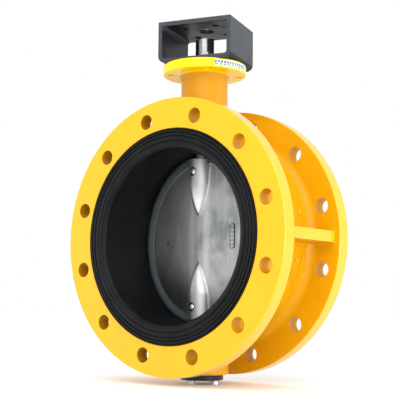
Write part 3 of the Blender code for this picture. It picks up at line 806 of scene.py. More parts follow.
def new_piece(name: str) -> Piece:
    """Name the object that an operator has just added."""
    piece = bpy.context.object
    piece.name = name
    piece.data.name = name
    return piece


def select_faces(piece: Piece, test: Callable[[Vector, Vector], bool]) -> int:
    """Select the faces of a piece in edit mode that pass a test.

    Args:
        piece: the object, in edit mode.
        test: takes a face's centre and normal.

    Returns:
        How many faces are selected.
    """
    shape = bmesh.from_edit_mesh(piece.data)
    for face in shape.faces:
        face.select_set(test(face.calc_center_median(), face.normal))
    shape.select_flush_mode()
    bmesh.update_edit_mesh(piece.data)
    return sum(face.select for face in shape.faces)


def select_edges(piece: Piece, test: Callable[[Vector, Vector], bool]) -> int:
    """Select the edges of a piece in edit mode whose two ends pass a test together.

    Args:
        piece: the object, in edit mode.
        test: takes the two ends.

    Returns:
        How many edges are selected.
    """
    shape = bmesh.from_edit_mesh(piece.data)
    for edge in shape.edges:
        edge.select_set(test(edge.verts[0].co, edge.verts[1].co))
    bmesh.update_edit_mesh(piece.data)
    return sum(edge.select for edge in shape.edges)


def select_points(piece: Piece, test: Callable[[Vector], bool]) -> int:
    """Select the vertices of a piece in edit mode that pass a test, and return their number."""
    shape = bmesh.from_edit_mesh(piece.data)
    for point in shape.verts:
        point.select_set(test(point.co))
    shape.select_flush_mode()
    bmesh.update_edit_mesh(piece.data)
    return sum(point.select for point in shape.verts)


def settle(piece: Piece) -> Piece:
    """Move an object's place, turn and scale into its mesh."""
    hold(piece)
    bpy.ops.object.transform_apply(location=True, rotation=True, scale=True)
    return piece


def set_down(piece: Piece, place: Place = (0.0, 0.0, 0.0),
             turn: Place = (0.0, 0.0, 0.0)) -> Piece:
    """Turn and move a piece, and keep the result in its mesh.

    Args:
        piece: the object, at the origin.
        place: where it goes.
        turn: its Euler angles.

    Returns:
        The piece.
    """
    piece.rotation_euler = turn
    piece.location = place
    return settle(piece)


def close_up(piece: Piece, caps: bool) -> None:
    """Merge doubled points, fill the ends if asked, and point every face outwards."""
    with editing(piece, "EDGE", "SELECT"):
        bpy.ops.mesh.remove_doubles(threshold=MERGE_DISTANCE)
        if caps:
            bpy.ops.mesh.select_all(action="SELECT")
            bpy.ops.mesh.fill_holes(sides=0)
        bpy.ops.mesh.select_all(action="SELECT")
        bpy.ops.mesh.normals_make_consistent(inside=False)


def block(name: str, sides: Place, middle: Place = (0.0, 0.0, 0.0)) -> Piece:
    """Box along the axes.

    Args:
        name: its name.
        sides: its lengths along X, Y and Z.
        middle: where its middle is.

    Returns:
        The box.
    """
    bpy.ops.object.select_all(action="DESELECT")
    bpy.ops.mesh.primitive_cube_add(size=1.0, scale=sides, location=middle)
    return settle(new_piece(name))


def lathe(name: str, profile: Sequence[Point], segments: int) -> Piece:
    """Turn a solid about Z, by extruding a circle along a profile.

    Args:
        name: the piece's name.
        profile: (radius, height) points; radius zero at both ends makes flat ends, and any
            other profile is closed into a ring.
        segments: points on each circle.

    Returns:
        The piece.
    """
    solid = profile[0][0] <= 0.0
    chain = list(profile[1:-1]) if solid else list(profile) + [profile[0]]
    radius, height = chain[0]
    bpy.ops.object.select_all(action="DESELECT")
    bpy.ops.mesh.primitive_circle_add(vertices=segments, radius=radius, location=(0.0, 0.0, height),
                                      fill_type="NOTHING")
    piece = settle(new_piece(name))
    with editing(piece, "EDGE", "SELECT"):
        for next_radius, next_height in chain[1:]:
            rise = (0.0, 0.0, next_height - height)
            bpy.ops.mesh.extrude_region_move(TRANSFORM_OT_translate={"value": rise})
            if abs(next_radius - radius) > 1e-9:
                ratio = next_radius / radius
                bpy.ops.transform.resize(value=(ratio, ratio, 1.0),
                                         center_override=(0.0, 0.0, next_height))
            radius, height = next_radius, next_height
    close_up(piece, solid)
    return piece


def sweep_prism(name: str, outline: Sequence[Point], bottom: float, top: float) -> Piece:
    """Draw an outline with one upright edge, then cap it above and below.

    Args:
        name: the piece's name.
        outline: (x, y) corners in order.
        bottom: height of the lower end.
        top: height of the upper end.

    Returns:
        The piece.
    """
    bpy.ops.object.select_all(action="DESELECT")
    bpy.ops.mesh.primitive_plane_add(size=top - bottom, rotation=(math.pi / 2, 0.0, 0.0),
                                     location=(0.0, 0.0, (top + bottom) / 2))
    piece = settle(new_piece(name))
    half = (top - bottom) / 2
    with editing(piece, "VERT"):
        select_points(piece, lambda co: co.x < 0.0)
        bpy.ops.mesh.delete(type="VERT")
        bpy.ops.mesh.select_mode(type="EDGE")
        bpy.ops.mesh.select_all(action="SELECT")
        bpy.ops.transform.translate(value=(outline[0][0] - half, outline[0][1], 0.0))
        for here, there in zip(outline, list(outline[1:]) + [outline[0]]):
            step = (there[0] - here[0], there[1] - here[1], 0.0)
            bpy.ops.mesh.extrude_region_move(TRANSFORM_OT_translate={"value": step})
    close_up(piece, True)
    return piece


def arc(centre: Point, radius: float, start: float, end: float, steps: int) -> list[Point]:
    """Points along an arc, with its angles in degrees."""
    turns = [math.radians(start + (end - start) * step / steps) for step in range(steps + 1)]
    return [(centre[0] + radius * math.cos(turn), centre[1] + radius * math.sin(turn))
            for turn in turns]


def mirrored(profile: Sequence[Point]) -> list[Point]:
    """The same profile on the other side of height zero, in reverse order."""
    return [(radius, -height) for radius, height in reversed(profile)]


def apply_modifiers(piece: Piece) -> None:
    """Apply every modifier of a piece in order."""
    hold(piece)
    for modifier in list(piece.modifiers):
        bpy.ops.object.modifier_apply(modifier=modifier.name)


def combine(piece: Piece, tool: Piece, how: Boolean) -> None:
    """Unite a solid with a tool, or cut it, and remove the tool."""
    modifier = piece.modifiers.new(tool.name, "BOOLEAN")
    modifier.operation = how.value
    modifier.solver = "EXACT"
    modifier.object = tool
    apply_modifiers(piece)
    bpy.data.objects.remove(tool, do_unlink=True)


def soften(piece: Piece, width: float, segments: int = 2, angle: float = 40.0) -> None:
    """Round the edges of a piece that are sharper than an angle in degrees."""
    modifier = piece.modifiers.new("rounded_edges", "BEVEL")
    modifier.width = width
    modifier.segments = segments
    modifier.limit_method = "ANGLE"
    modifier.angle_limit = math.radians(angle)
    modifier.harden_normals = False
    modifier.use_clamp_overlap = True
    apply_modifiers(piece)


def smooth(piece: Piece, weighted: bool = True) -> None:
    """Shade a piece smooth between its edges, with flat faces kept flat."""
    hold(piece)
    bpy.ops.object.shade_smooth_by_angle(angle=SHADE_ANGLE)
    if weighted:
        modifier = piece.modifiers.new("flat_faces", "WEIGHTED_NORMAL")
        modifier.keep_sharp = True
        apply_modifiers(piece)


def duplicate(piece: Piece, name: str) -> Piece:
    """Copy a piece together with its mesh."""
    hold(piece)
    bpy.ops.object.duplicate(linked=False)
    return new_piece(name)


def join(pieces: Sequence[Piece], name: str) -> Piece:
    """Join several pieces into one."""
    hold(*pieces)
    bpy.ops.object.join()
    return new_piece(name)


def ring_of(tool: Piece, name: str, circle: float, angles: Sequence[float],
            axis_turn: float = 0.0) -> Piece:
    """Copy a tool around a circle and join the copies.

    Args:
        tool: the tool, made along Z at the origin; it is used up.
        name: the joined tool's name.
        circle: radius of the circle.
        angles: where the copies stand on it.
        axis_turn: turn about X that is given to all of them.

    Returns:
        The joined tool.
    """
    copies = []
    for number, angle in enumerate(angles):
        copy = duplicate(tool, f"{name}_{number}")
        spot = (circle * math.cos(angle), circle * math.sin(angle), 0.0)
        copies.append(set_down(copy, spot, (0.0, 0.0, angle)))
    bpy.data.objects.remove(tool, do_unlink=True)
    joined = join(copies, name)
    return set_down(joined, turn=(axis_turn, 0.0, 0.0))


def quarter_angles(first: float) -> list[float]:
    """Four angles, a quarter turn apart."""
    return [first + quarter * math.pi / 2 for quarter in range(4)]


def drill(name: str, radius: float, bottom: float, top: float, chamfer: float,
          segments: int = 48) -> Piece:
    """A hole cutter along Z that also breaks the edges of the hole at both ends.

    Args:
        name: the cutter's name.
        radius: the hole's radius.
        bottom: height of the lower face.
        top: height of the upper face.
        chamfer: width of the broken edge.
        segments: facets of the hole.

    Returns:
        The cutter.
    """
    spare = chamfer * 1.5
    profile = [(0.0, bottom - spare), (radius + chamfer + spare, bottom - spare),
               (radius, bottom + chamfer), (radius, top - chamfer),
               (radius + chamfer + spare, top + spare), (0.0, top + spare)]
    return lathe(name, profile, segments)


# ================================================================ pieces on the frame
@dataclass
class Assembly:
    """A group of pieces that is built and set on the frame together."""

    frame: dict

    def build(self) -> None:
        """Make and place the pieces."""
        raise NotImplementedError

    def fit(self, piece: Piece, finish: Finish, body: Body, *nodes: str) -> Piece:
        """Dress a finished piece and put it on the frame.

        Args:
            piece: the piece.
            finish: what it is dressed with.
            body: the CAD body it moves with.
            nodes: CAD nodes that it stands for.

        Returns:
            The piece.
        """
        piece.data.materials.clear()
        piece.data.materials.append(finish.material())
        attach(piece, body.value)
        if nodes:
            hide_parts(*nodes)
        self.report(piece, nodes)
        return piece

    def dress(self, node: str, finish: Finish) -> None:
        """Give a CAD node that stays in sight a finish of its own."""
        piece = self.frame["nodes"][node]
        piece.data.materials.clear()
        piece.data.materials.append(finish.material())
        LOG.info("%s keeps its CAD shape, finish %s", node, finish.name)

    @staticmethod
    def report(piece: Piece, nodes: Sequence[str]) -> None:
        """Log a piece's size and how far it stands off the CAD nodes it replaces."""
        low = [min(point.co[axis] for point in piece.data.vertices) for axis in range(3)]
        high = [max(point.co[axis] for point in piece.data.vertices) for axis in range(3)]
        triangles = sum(len(face.vertices) - 2 for face in piece.data.polygons)
        worst = 0.0
        if nodes:
            boxes = [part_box(node) for node in nodes]
            for axis in range(3):
                node_low = min(box[0][axis] for box in boxes)
                node_high = max(box[1][axis] for box in boxes)
                worst = max(worst, abs(low[axis] - node_low), abs(high[axis] - node_high))
        LOG.info("%s: %d triangles, box differs from CAD by %.2f mm", piece.name, triangles,
                 worst * 1000.0)


@dataclass
class Casting(Assembly):
    """The painted iron body: barrel, flanges, ribs, neck, top flange and boss."""

    bore: float = 0.1375
    barrel: float = 0.150
    flange: float = 0.200
    face: float = 0.080
    flange_back: float = 0.058
    root_fillet: float = 0.014
    rim_round: float = 0.0014
    lip_recess: float = 0.1553
    recess_depth: float = 0.003
    bolt_circle: float = 0.175
    bolt_hole: float = 0.0110
    neck: float = 0.035
    neck_root: float = 0.022
    neck_top_round: float = 0.008
    top_face: float = 0.261
    top_flange: float = 0.0625
    top_thickness: float = 0.014
    boss: float = 0.039
    boss_face: float = 0.197
    boss_root: float = 0.010
    stem_bore: float = 0.0176
    rib_half: float = 0.008
    rib_edge: float = 0.192
    rib_fillet: float = 0.007
    rib_round: float = 0.0010
    rib_flare: float = 0.005
    flare_steps: int = 5
    front_reach: float = 0.009
    rear_reach: float = 0.004
    mark_height: float = 0.0017
    mark_sink: float = 0.0002
    mark_round: float = 0.0009
    gland_seat: float = 0.2416
    gland: float = 0.0211
    groove: float = 0.0226
    groove_low: float = 0.2549
    groove_high: float = 0.2573
    bore_chamfer: float = 0.0016
    bore_chamfer_depth: float = 0.0006
    mount_hole: float = 0.0055
    mount_circle: float = 0.051
    bracket_tap: float = 0.0043
    bracket_tap_depth: float = 0.012
    bracket_tap_circle: float = 0.035
    cover_tap: float = 0.0033
    cover_tap_depth: float = 0.0115
    cover_tap_circle: float = 0.0238
    bolt_count: int = 12
    segments: int = 192

    def build(self) -> None:
        """Cast it, machine it and set it on the frame."""
        body = self.blank()
        combine(body, self.neck_form(), Boolean.UNITE)
        combine(body, self.boss_form(), Boolean.UNITE)
        for side in (1, -1):
            combine(body, self.rib(side), Boolean.UNITE)
        combine(body, self.cast_marks(), Boolean.UNITE)
        combine(body, self.bore_tool(), Boolean.CUT)
        combine(body, self.neck_bore_tool(), Boolean.CUT)
        combine(body, self.bolt_holes(), Boolean.CUT)
        combine(body, self.small_holes(), Boolean.CUT)
        smooth(body)
        self.fit(body, YELLOW, Body.SHELL, "valve_body")

    def blank(self) -> Piece:
        """Solid barrel with both flanges, along the pipe."""
        edge = self.rim_round
        half = [(self.flange - edge, self.face)]
        half += arc((self.flange - edge, self.face - edge), edge, 90, 0, 4)[1:]
        half += arc((self.flange - edge, self.flange_back + edge), edge, 0, -90, 4)
        half += arc((self.barrel + self.root_fillet, self.flange_back - self.root_fillet),
                    self.root_fillet, 90, 180, 10)
        profile = [(0.0, self.face)] + half + mirrored(half) + [(0.0, -self.face)]
        return set_down(lathe("valve_casting", profile, self.segments), turn=(-math.pi / 2, 0.0, 0.0))

    def drape(self, piece: Piece, foot: float, crest: float) -> Piece:
        """Let the foot of an upright form follow the round barrel.

        Args:
            piece: the form, standing on the barrel above or below.
            foot: height where the form follows the barrel fully.
            crest: height from which it stays as it is.

        Returns:
            The piece.
        """
        for point in piece.data.vertices:
            share = min(1.0, max(0.0, (crest - abs(point.co.z)) / (crest - foot)))
            drop = self.barrel - math.sqrt(self.barrel ** 2 - point.co.x ** 2)
            point.co.z -= math.copysign(drop * share, point.co.z)
        piece.data.update()
        return piece

    def neck_form(self) -> Piece:
        """Neck with its flared root, and the round top flange."""
        under = self.top_face - self.top_thickness
        edge = 0.0012
        points = [(0.0, self.top_face)]
        points += arc((self.top_flange - edge, self.top_face - edge), edge, 90, 0, 4)
        points += arc((self.top_flange - edge, under + edge), edge, 0, -90, 4)
        points += arc((self.neck + self.neck_top_round, under - self.neck_top_round),
                      self.neck_top_round, 90, 180, 8)
        root = self.neck + self.neck_root
        points += arc((root, self.barrel + self.neck_root), self.neck_root, 180, 262, 12)
        points += [(root, self.barrel - 0.006), (0.0, self.barrel - 0.006)]
        form = lathe("neck_form", points, 96)
        return self.drape(form, self.barrel, self.barrel + self.neck_root)

    def boss_form(self) -> Piece:
        """Lower boss with its flared root."""
        edge = 0.002
        foot = self.barrel - 0.0075
        points = [(0.0, -self.boss_face), (self.boss - edge, -self.boss_face)]
        points += arc((self.boss - edge, -self.boss_face + edge), edge, -90, 0, 4)[1:]
        points += arc((self.boss + self.boss_root, -self.barrel - self.boss_root), self.boss_root,
                      180, 98, 8)
        points += [(self.boss + self.boss_root, -foot), (0.0, -foot)]
        form = lathe("boss_form", points, 96)
        return self.drape(form, self.barrel, self.barrel + self.boss_root)

    def rib(self, side: int) -> Piece:
        """Side rib between the flanges, with a filleted foot and a flared rear end.

        Args:
            side: 1 or -1, along X.

        Returns:
            The rib.
        """
        fillet, edge, half = self.rib_fillet, self.rib_round, self.rib_half
        angle = math.asin((half + fillet) / (self.barrel + fillet))
        centre = ((self.barrel + fillet) * math.cos(angle), half + fillet)
        upper = [(self.barrel - 0.005, centre[1] * 0.94)]
        upper += arc(centre, fillet, 180 + math.degrees(angle), 270, 8)
        upper += arc((self.rib_edge - edge, half - edge), edge, 90, 0, 3)
        outline = upper + [(x, -z) for x, z in reversed(upper)]
        reach = self.flange_back - self.rib_flare
        piece = sweep_prism("rib_form", outline, -reach, reach)
        with editing(piece, "FACE"):
            select_faces(piece, lambda at, normal: normal.z > FACING)
            self.push_out(self.front_reach)
            select_faces(piece, lambda at, normal: normal.z < -FACING)
            width, at = half, reach
            for step in range(1, self.flare_steps + 1):
                turn = math.radians(90.0 / self.flare_steps * step)
                rise = reach + self.rib_flare * math.sin(turn) - at
                wider = half + self.rib_flare * (1.0 - math.cos(turn))
                self.push_out(-rise)
                bpy.ops.transform.resize(value=(1.0, wider / width, 1.0),
                                         center_override=(0.0, 0.0, 0.0))
                width, at = wider, at + rise
            self.push_out(-self.rear_reach)
        close_up(piece, False)
        facing = 0.0 if side > 0 else math.pi
        set_down(piece, turn=(math.pi / 2, 0.0, 0.0))
        return set_down(piece, turn=(0.0, facing, 0.0))

    @staticmethod
    def push_out(rise: float) -> None:
        """Extrude the selected faces along Z."""
        bpy.ops.mesh.extrude_region_move(TRANSFORM_OT_translate={"value": (0.0, 0.0, rise)})

    def cast_marks(self) -> Piece:
        """Plain raised bars on the barrel below and above the side ribs."""
        bars = []
        # angle in degrees, place along the pipe, length, width
        spots = [(-20.5, 0.024, 0.0026, 0.015), (-22.5, 0.031, 0.0026, 0.017),
                 (-24.5, 0.038, 0.0026, 0.017), (-14.0, 0.040, 0.0022, 0.020),
                 (-12.5, 0.028, 0.0070, 0.004), (13.5, 0.036, 0.0080, 0.008),
                 (166.0, 0.004, 0.0300, 0.003), (170.0, 0.004, 0.0200, 0.003)]
        radius = self.barrel + self.mark_sink
        for number, (angle, along, length, width) in enumerate(spots):
            bar = block(f"cast_bar_{number}", (2 * self.mark_height, length, width))
            soften(bar, self.mark_round, 2)
            turn = math.radians(angle)
            spot = (radius * math.cos(turn), along, radius * math.sin(turn))
            bars.append(set_down(bar, spot, (0.0, -turn, 0.0)))
        return join(bars, "cast_bars")

    def bore_tool(self) -> Piece:
        """Cutter for the bore and for the recess of each rubber lip."""
        over = self.face + 0.002
        floor = self.face - self.recess_depth
        half = [(self.lip_recess + 0.0025, over), (self.lip_recess, self.face - 0.0005),
                (self.lip_recess, floor), (self.bore, floor)]
        profile = [(0.0, over)] + half + mirrored(half) + [(0.0, -over)]
        return set_down(lathe("bore_tool", profile, self.segments), turn=(-math.pi / 2, 0.0, 0.0))

    def neck_bore_tool(self) -> Piece:
        """Stepped cutter for the stem bore, the gland seat and the bore of the boss."""
        top = self.top_face + OVERSHOOT
        wide = self.stem_bore + self.bore_chamfer
        upper = [(0.0, 0.1), (self.stem_bore, 0.1), (self.stem_bore, self.gland_seat),
                 (self.gland, self.gland_seat), (self.gland, self.groove_low),
                 (self.groove, self.groove_low), (self.groove, self.groove_high),
                 (self.gland, self.groove_high),
                 (self.gland, self.top_face - self.bore_chamfer_depth),
                 (self.gland + self.bore_chamfer, top), (0.0, top)]
        low = -self.boss_face
        lower = [(0.0, low - OVERSHOOT), (wide, low - OVERSHOOT),
                 (self.stem_bore, low + self.bore_chamfer_depth), (self.stem_bore, -0.1),
                 (0.0, -0.1)]
        return join([lathe("neck_bore", upper, 64), lathe("boss_bore", lower, 64)], "stem_bores")

    def bolt_holes(self) -> Piece:
        """Cutter for the twelve bolt holes of each flange."""
        spacing = math.tau / self.bolt_count
        angles = [spacing * (number + 0.5) for number in range(self.bolt_count)]
        rings = []
        for side in (1, -1):
            low, high = sorted((side * self.face, side * self.flange_back))
            tool = drill("bolt_drill", self.bolt_hole, low, high, 0.0002)
            rings.append(ring_of(tool, f"bolt_ring_{side + 1}", self.bolt_circle, angles,
                                 -math.pi / 2))
        return join(rings, "bolt_holes")

    def small_holes(self) -> Piece:
        """Cutter for the holes of the top flange and the threads of both covers."""
        under = self.top_face - self.top_thickness
        around = quarter_angles(math.pi / 4)
        wide = ring_of(drill("mount_drill", self.mount_hole, under, self.top_face, 0.0005, 32),
                       "mount_holes", self.mount_circle, around)
        taps = ring_of(self.blind_hole("bracket_tap", self.bracket_tap,
                                       self.top_face - self.bracket_tap_depth,
                                       self.top_face + OVERSHOOT),
                       "bracket_taps", self.bracket_tap_circle, around)
        low = -self.boss_face
        pockets = ring_of(self.blind_hole("cover_tap", self.cover_tap, low - OVERSHOOT,
                                          low + self.cover_tap_depth),
                          "cover_taps", self.cover_tap_circle, quarter_angles(0.0))
        return join([wide, taps, pockets], "small_holes")

    @staticmethod
    def blind_hole(name: str, radius: float, low: float, high: float) -> Piece:
        """Plain cutter between two heights."""
        return lathe(name, [(0.0, low), (radius, low), (radius, high), (0.0, high)], 24)


@dataclass
class RubberSeat(Assembly):
    """The moulded rubber seat: a sleeve in the bore with a beaded lip over each iron face."""

    bore: float = 0.125
    outside: float = 0.1372
    lip: float = 0.155
    lip_face: float = 0.0818
    lip_back: float = 0.0773
    mouth: float = 0.008
    groove_circles: tuple[float, ...] = (0.1365, 0.1435, 0.1485, 0.1533)
    groove_half: float = 0.0008
    groove_depth: float = 0.0011
    bead_half: float = 0.0014
    bead_height: float = 0.0007
    stem_hole: float = 0.0145
    segments: int = 192

    def build(self) -> None:
        """Mould the seat and pierce it for the stems."""
        half = arc((self.bore + self.mouth, self.lip_face - self.mouth), self.mouth, 180, 90, 12)
        for circle in self.groove_circles:
            half += [(circle - self.groove_half * math.cos(math.pi * step / 6),
                      self.lip_face - self.groove_depth * math.sin(math.pi * step / 6))
                     for step in range(7)]
            if circle in self.groove_circles[1:-1]:
                middle = circle + 0.0025
                half += [(middle - self.bead_half * math.cos(math.pi * step / 6),
                          self.lip_face + self.bead_height * math.sin(math.pi * step / 6))
                         for step in range(7)]
        half += arc((self.lip - 0.0009, self.lip_face - 0.0009), 0.0009, 90, 0, 4)
        half += [(self.lip, self.lip_back), (self.outside, self.lip_back)]
        seat = lathe("rubber_seat", half + mirrored(half), self.segments)
        set_down(seat, turn=(-math.pi / 2, 0.0, 0.0))
        holes = []
        for side in (1, -1):
            low, high = sorted((side * 0.110, side * 0.1385))
            holes.append(lathe("seat_hole", [(0.0, low), (self.stem_hole, low),
                                             (self.stem_hole, high), (0.0, high)], 64))
        combine(seat, join(holes, "seat_holes"), Boolean.CUT)
        smooth(seat)
        self.fit(seat, SEAT_RUBBER, Body.SHELL, "seat_liner")


@dataclass
class DiscTrain(Assembly):
    """The disc with its two hubs, taper pins, stems and key, all of which turn together."""

    radius: float = 0.1245
    crown: float = 0.0080
    web: float = 0.0052
    rim: float = 0.0095
    rim_land: float = 0.0050
    rim_slope: float = 0.0055
    hub: float = 0.022
    hub_face: float = 0.12224
    hub_length: float = 0.042
    hub_taper: float = 0.050
    stem: float = 0.014
    stem_end: float = 0.06624
    stem_top: float = 0.3035
    stub_bottom: float = 0.1902
    pin_height: float = 0.100
    pin: float = 0.005
    rest_turn: float = math.radians(-11.0)
    voxel: float = 0.0012
    segments: int = 192

    def build(self) -> None:
        """Make the disc, the stems, the pins and the key."""
        disc = self.rough_disc()
        for side in (1, -1):
            combine(disc, self.socket(side), Boolean.CUT)
        smooth(disc, weighted=False)
        self.set_on_axle(disc, DISC_STEEL, "disc")
        self.set_on_axle(self.drive_stem(), GROUND_STEEL, "drive_stem")
        self.set_on_axle(self.stub_stem(), GROUND_STEEL, "stub_stem")
        first = self.taper_pin(1)
        second = duplicate(first, "pin_lower")
        set_down(second, place=(0.0, 0.0, -2 * self.pin_height))
        self.set_on_axle(first, PIN_STEEL, "upper_taper_pin")
        self.set_on_axle(second, PIN_STEEL, "lower_taper_pin")
        self.set_on_axle(self.key(), OILED_STEEL, "stem_key")

    def set_on_axle(self, piece: Piece, finish: Finish, node: str) -> None:
        """Turn a piece to the disc's resting angle and put it on the moving body."""
        set_down(piece, turn=(0.0, 0.0, self.rest_turn))
        self.fit(piece, finish, Body.DISC, node)

    def rough_disc(self) -> Piece:
        """Cast plate with hubs and spine, melted together with rounded corners."""
        start = math.sqrt(self.radius ** 2 - self.rim ** 2) - self.rim_land - self.rim_slope
        fall = self.crown - self.web
        half = [(share * start, self.crown - fall * share ** 2)
                for share in (0.02, 0.2, 0.35, 0.5, 0.65, 0.8, 0.9, 1.0)]
        half.append((start + self.rim_slope, self.rim))
        turn = math.degrees(math.asin(self.rim / self.radius))
        half += arc((0.0, 0.0), self.radius, turn, 0, 4)[:-1]
        profile = [(0.0, self.crown)] + half + [(self.radius, 0.0)] + mirrored(half)
        profile += [(0.0, -self.crown)]
        plate = lathe("valve_disc", profile, self.segments)
        set_down(plate, turn=(-math.pi / 2, 0.0, 0.0))
        disc = join([plate, self.hub_form(1), self.hub_form(-1), self.spine()], "valve_disc")
        remesh = disc.modifiers.new("melt", "REMESH")
        remesh.mode = "VOXEL"
        remesh.voxel_size = self.voxel
        apply_modifiers(disc)
        self.smooth_corners(disc)
        combine(disc, self.turning_envelope(), Boolean.KEEP_COMMON)
        combine(disc, self.number_pad(), Boolean.UNITE)
        combine(disc, self.centre_mark(), Boolean.CUT)
        return disc

    def number_pad(self) -> Piece:
        """Raised frame with a few plain bars, near the edge of the front face."""
        pad = block("number_pad", (0.0105, 0.0350, 0.0030))
        with editing(pad, "EDGE"):
            select_edges(pad, lambda one, two: abs(one.z - two.z) > 0.001)
            bpy.ops.mesh.bevel(offset=0.0035, segments=5)
        with editing(pad, "FACE"):
            select_faces(pad, lambda at, normal: normal.z > FACING)
            bpy.ops.mesh.inset(thickness=0.0011)
            bpy.ops.mesh.extrude_region_move(TRANSFORM_OT_translate={"value": (0.0, 0.0, -0.0007)})
        close_up(pad, False)
        for number in range(5):
            bar = block(f"pad_bar_{number}", (0.0046, 0.0030, 0.0015),
                        (0.0, (number - 2) * 0.0056, 0.0006))
            soften(bar, 0.0003, 1)
            combine(pad, bar, Boolean.UNITE)
        return set_down(pad, (0.0717, -0.0062, 0.0010), (math.pi / 2, 0.0, 0.0))

    def centre_mark(self) -> Piece:
        """Cutter for a small ring mark on the other side of the front face."""
        mark = lathe("centre_mark", [(0.0014, -0.0006), (0.0026, -0.0006), (0.0030, 0.002),
                                     (0.0010, 0.002)], 32)
        return set_down(mark, (-0.0757, -0.0068, -0.0022), (math.pi / 2, 0.0, 0.0))

    def hub_form(self, side: int) -> Piece:
        """One hub: straight at the stem, running out to a point towards the middle."""
        run_out = self.hub_face - self.hub_length - self.hub_taper
        points = [(0.0, self.hub_face), (self.hub, self.hub_face)]
        for share in (1.0, 0.85, 0.7, 0.55, 0.4, 0.28, 0.18, 0.1, 0.04):
            points.append((self.hub * math.sqrt(1.0 - (1.0 - share) ** 1.6),
                           run_out + share * self.hub_taper))
        points.append((0.0, run_out))
        form = lathe("hub_form", [(radius, side * height) for radius, height in points], 72)
        for point in form.data.vertices:
            share = (abs(point.co.z) - run_out) / self.hub_taper
            point.co.x *= min(1.0, max(0.0, share)) ** 0.38
        form.data.update()
        return form

    def spine(self) -> Piece:
        """Shallow crowned strip that links the two hubs."""
        bpy.ops.object.select_all(action="DESELECT")
        bpy.ops.mesh.primitive_uv_sphere_add(segments=48, ring_count=32, radius=1.0,
                                             scale=(0.044, 0.0084, 0.110))
        return settle(new_piece("spine_form"))

    def smooth_corners(self, disc: Piece) -> None:
        """Round the corners between hubs and web, and calm the cast skin."""
        inner = self.radius - self.rim_land - self.rim_slope - 0.003
        with editing(disc, "VERT"):
            select_points(disc, lambda co: math.hypot(co.x, co.z) < inner)
            bpy.ops.mesh.vertices_smooth(factor=0.5, repeat=4)
            select_points(disc, lambda co: abs(co.x) < 0.033 and math.hypot(co.x, co.z) < inner
                          and abs(co.z) > 0.028 and abs(co.y) < 0.019)
            bpy.ops.mesh.vertices_smooth(factor=0.5, repeat=7)

    def turning_envelope(self) -> Piece:
        """What is left inside the lathe cut over the disc's rim and the hub ends."""
        land = math.degrees(math.asin(self.rim / self.radius))
        rim = arc((0.0, 0.0), self.radius - 0.0001, land, -land, 8)
        low = [(0.0, 0.030), (self.radius - 0.006, 0.030), (self.radius - 0.006, self.rim - 0.0001)]
        profile = low + rim + [(radius, -height) for radius, height in reversed(low)]
        return set_down(lathe("rim_envelope", profile, self.segments), turn=(-math.pi / 2, 0.0, 0.0))

    def socket(self, side: int) -> Piece:
        """Cutter for one stem socket, its flat end and its pin hole."""
        steps = [(0.0, self.stem_end - FIT_GAP), (self.stem + FIT_GAP, self.stem_end - FIT_GAP),
                 (self.stem + FIT_GAP, self.hub_face - 0.0008),
                 (self.stem + FIT_GAP + 0.0008, self.hub_face),
                 (self.hub + OVERSHOOT, self.hub_face),
                 (self.hub + OVERSHOOT, self.radius + OVERSHOOT), (0.0, self.radius + OVERSHOOT)]
        bore = lathe("socket_bore", [(radius, side * height) for radius, height in steps], 64)
        hole = drill("pin_drill", self.pin + FIT_GAP, -self.hub, self.hub, 0.0007, 32)
        set_down(hole, (0.0, 0.0, side * self.pin_height), (-math.pi / 2, 0.0, 0.0))
        combine(bore, hole, Boolean.UNITE)
        return bore

    def drive_stem(self) -> Piece:
        """Upper stem with chamfered ends and a square-ended keyway."""
        edge = 0.0015
        profile = [(0.0, self.stem_end), (self.stem - edge, self.stem_end),
                   (self.stem, self.stem_end + edge), (self.stem, self.stem_top - edge),
                   (self.stem - edge, self.stem_top), (0.0, self.stem_top)]
        stem = lathe("drive_shaft", profile, 96)
        keyway = block("keyway", (0.012, 0.0086, 0.0271), (0.0157, 0.0, self.stem_top - 0.0130))
        combine(stem, keyway, Boolean.CUT)
        combine(stem, self.pin_hole(1), Boolean.CUT)
        smooth(stem)
        return stem

    def stub_stem(self) -> Piece:
        """Lower stem with chamfered ends."""
        edge = 0.0015
        profile = [(0.0, -self.stub_bottom), (self.stem - edge, -self.stub_bottom),
                   (self.stem, -self.stub_bottom + edge), (self.stem, -self.stem_end - edge),
                   (self.stem - edge, -self.stem_end), (0.0, -self.stem_end)]
        stem = lathe("stub_shaft", profile, 96)
        combine(stem, self.pin_hole(-1), Boolean.CUT)
        smooth(stem)
        return stem

    def pin_hole(self, side: int) -> Piece:
        """Cutter for the pin's hole in a stem."""
        hole = drill("stem_pin_hole", self.pin + FIT_GAP, -0.018, 0.018, 0.0003, 32)
        return set_down(hole, (0.0, 0.0, side * self.pin_height), (-math.pi / 2, 0.0, 0.0))

    def taper_pin(self, side: int) -> Piece:
        """Taper pin along the disc's normal, with domed ends."""
        half = self.hub - FIT_GAP
        thin, thick = self.pin - 0.0002, self.pin + 0.0002
        dome = [(0.0, 0.0), (0.0010, 0.0), (0.0021, 0.0002), (0.0031, 0.0005), (0.0039, 0.0010),
                (0.0044, 0.0016)]
        profile = [(radius, rise - half) for radius, rise in dome]
        profile += [(thin, 0.0024 - half), (thick, half - 0.0024)]
        profile += [(radius, half - rise) for radius, rise in reversed(dome)]
        piece = lathe("pin_upper", profile, 40)
        smooth(piece)
        return set_down(piece, (0.0, 0.0, side * self.pin_height), (-math.pi / 2, 0.0, 0.0))

    def key(self) -> Piece:
        """Parallel key with broken edges."""
        low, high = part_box("stem_key")
        bottom, top = low.z, high.z
        key = block("shaft_key", (0.007, 0.008, top - bottom), (0.0135, 0.0, (top + bottom) / 2))
        soften(key, 0.0004, 2)
        smooth(key)
        return key


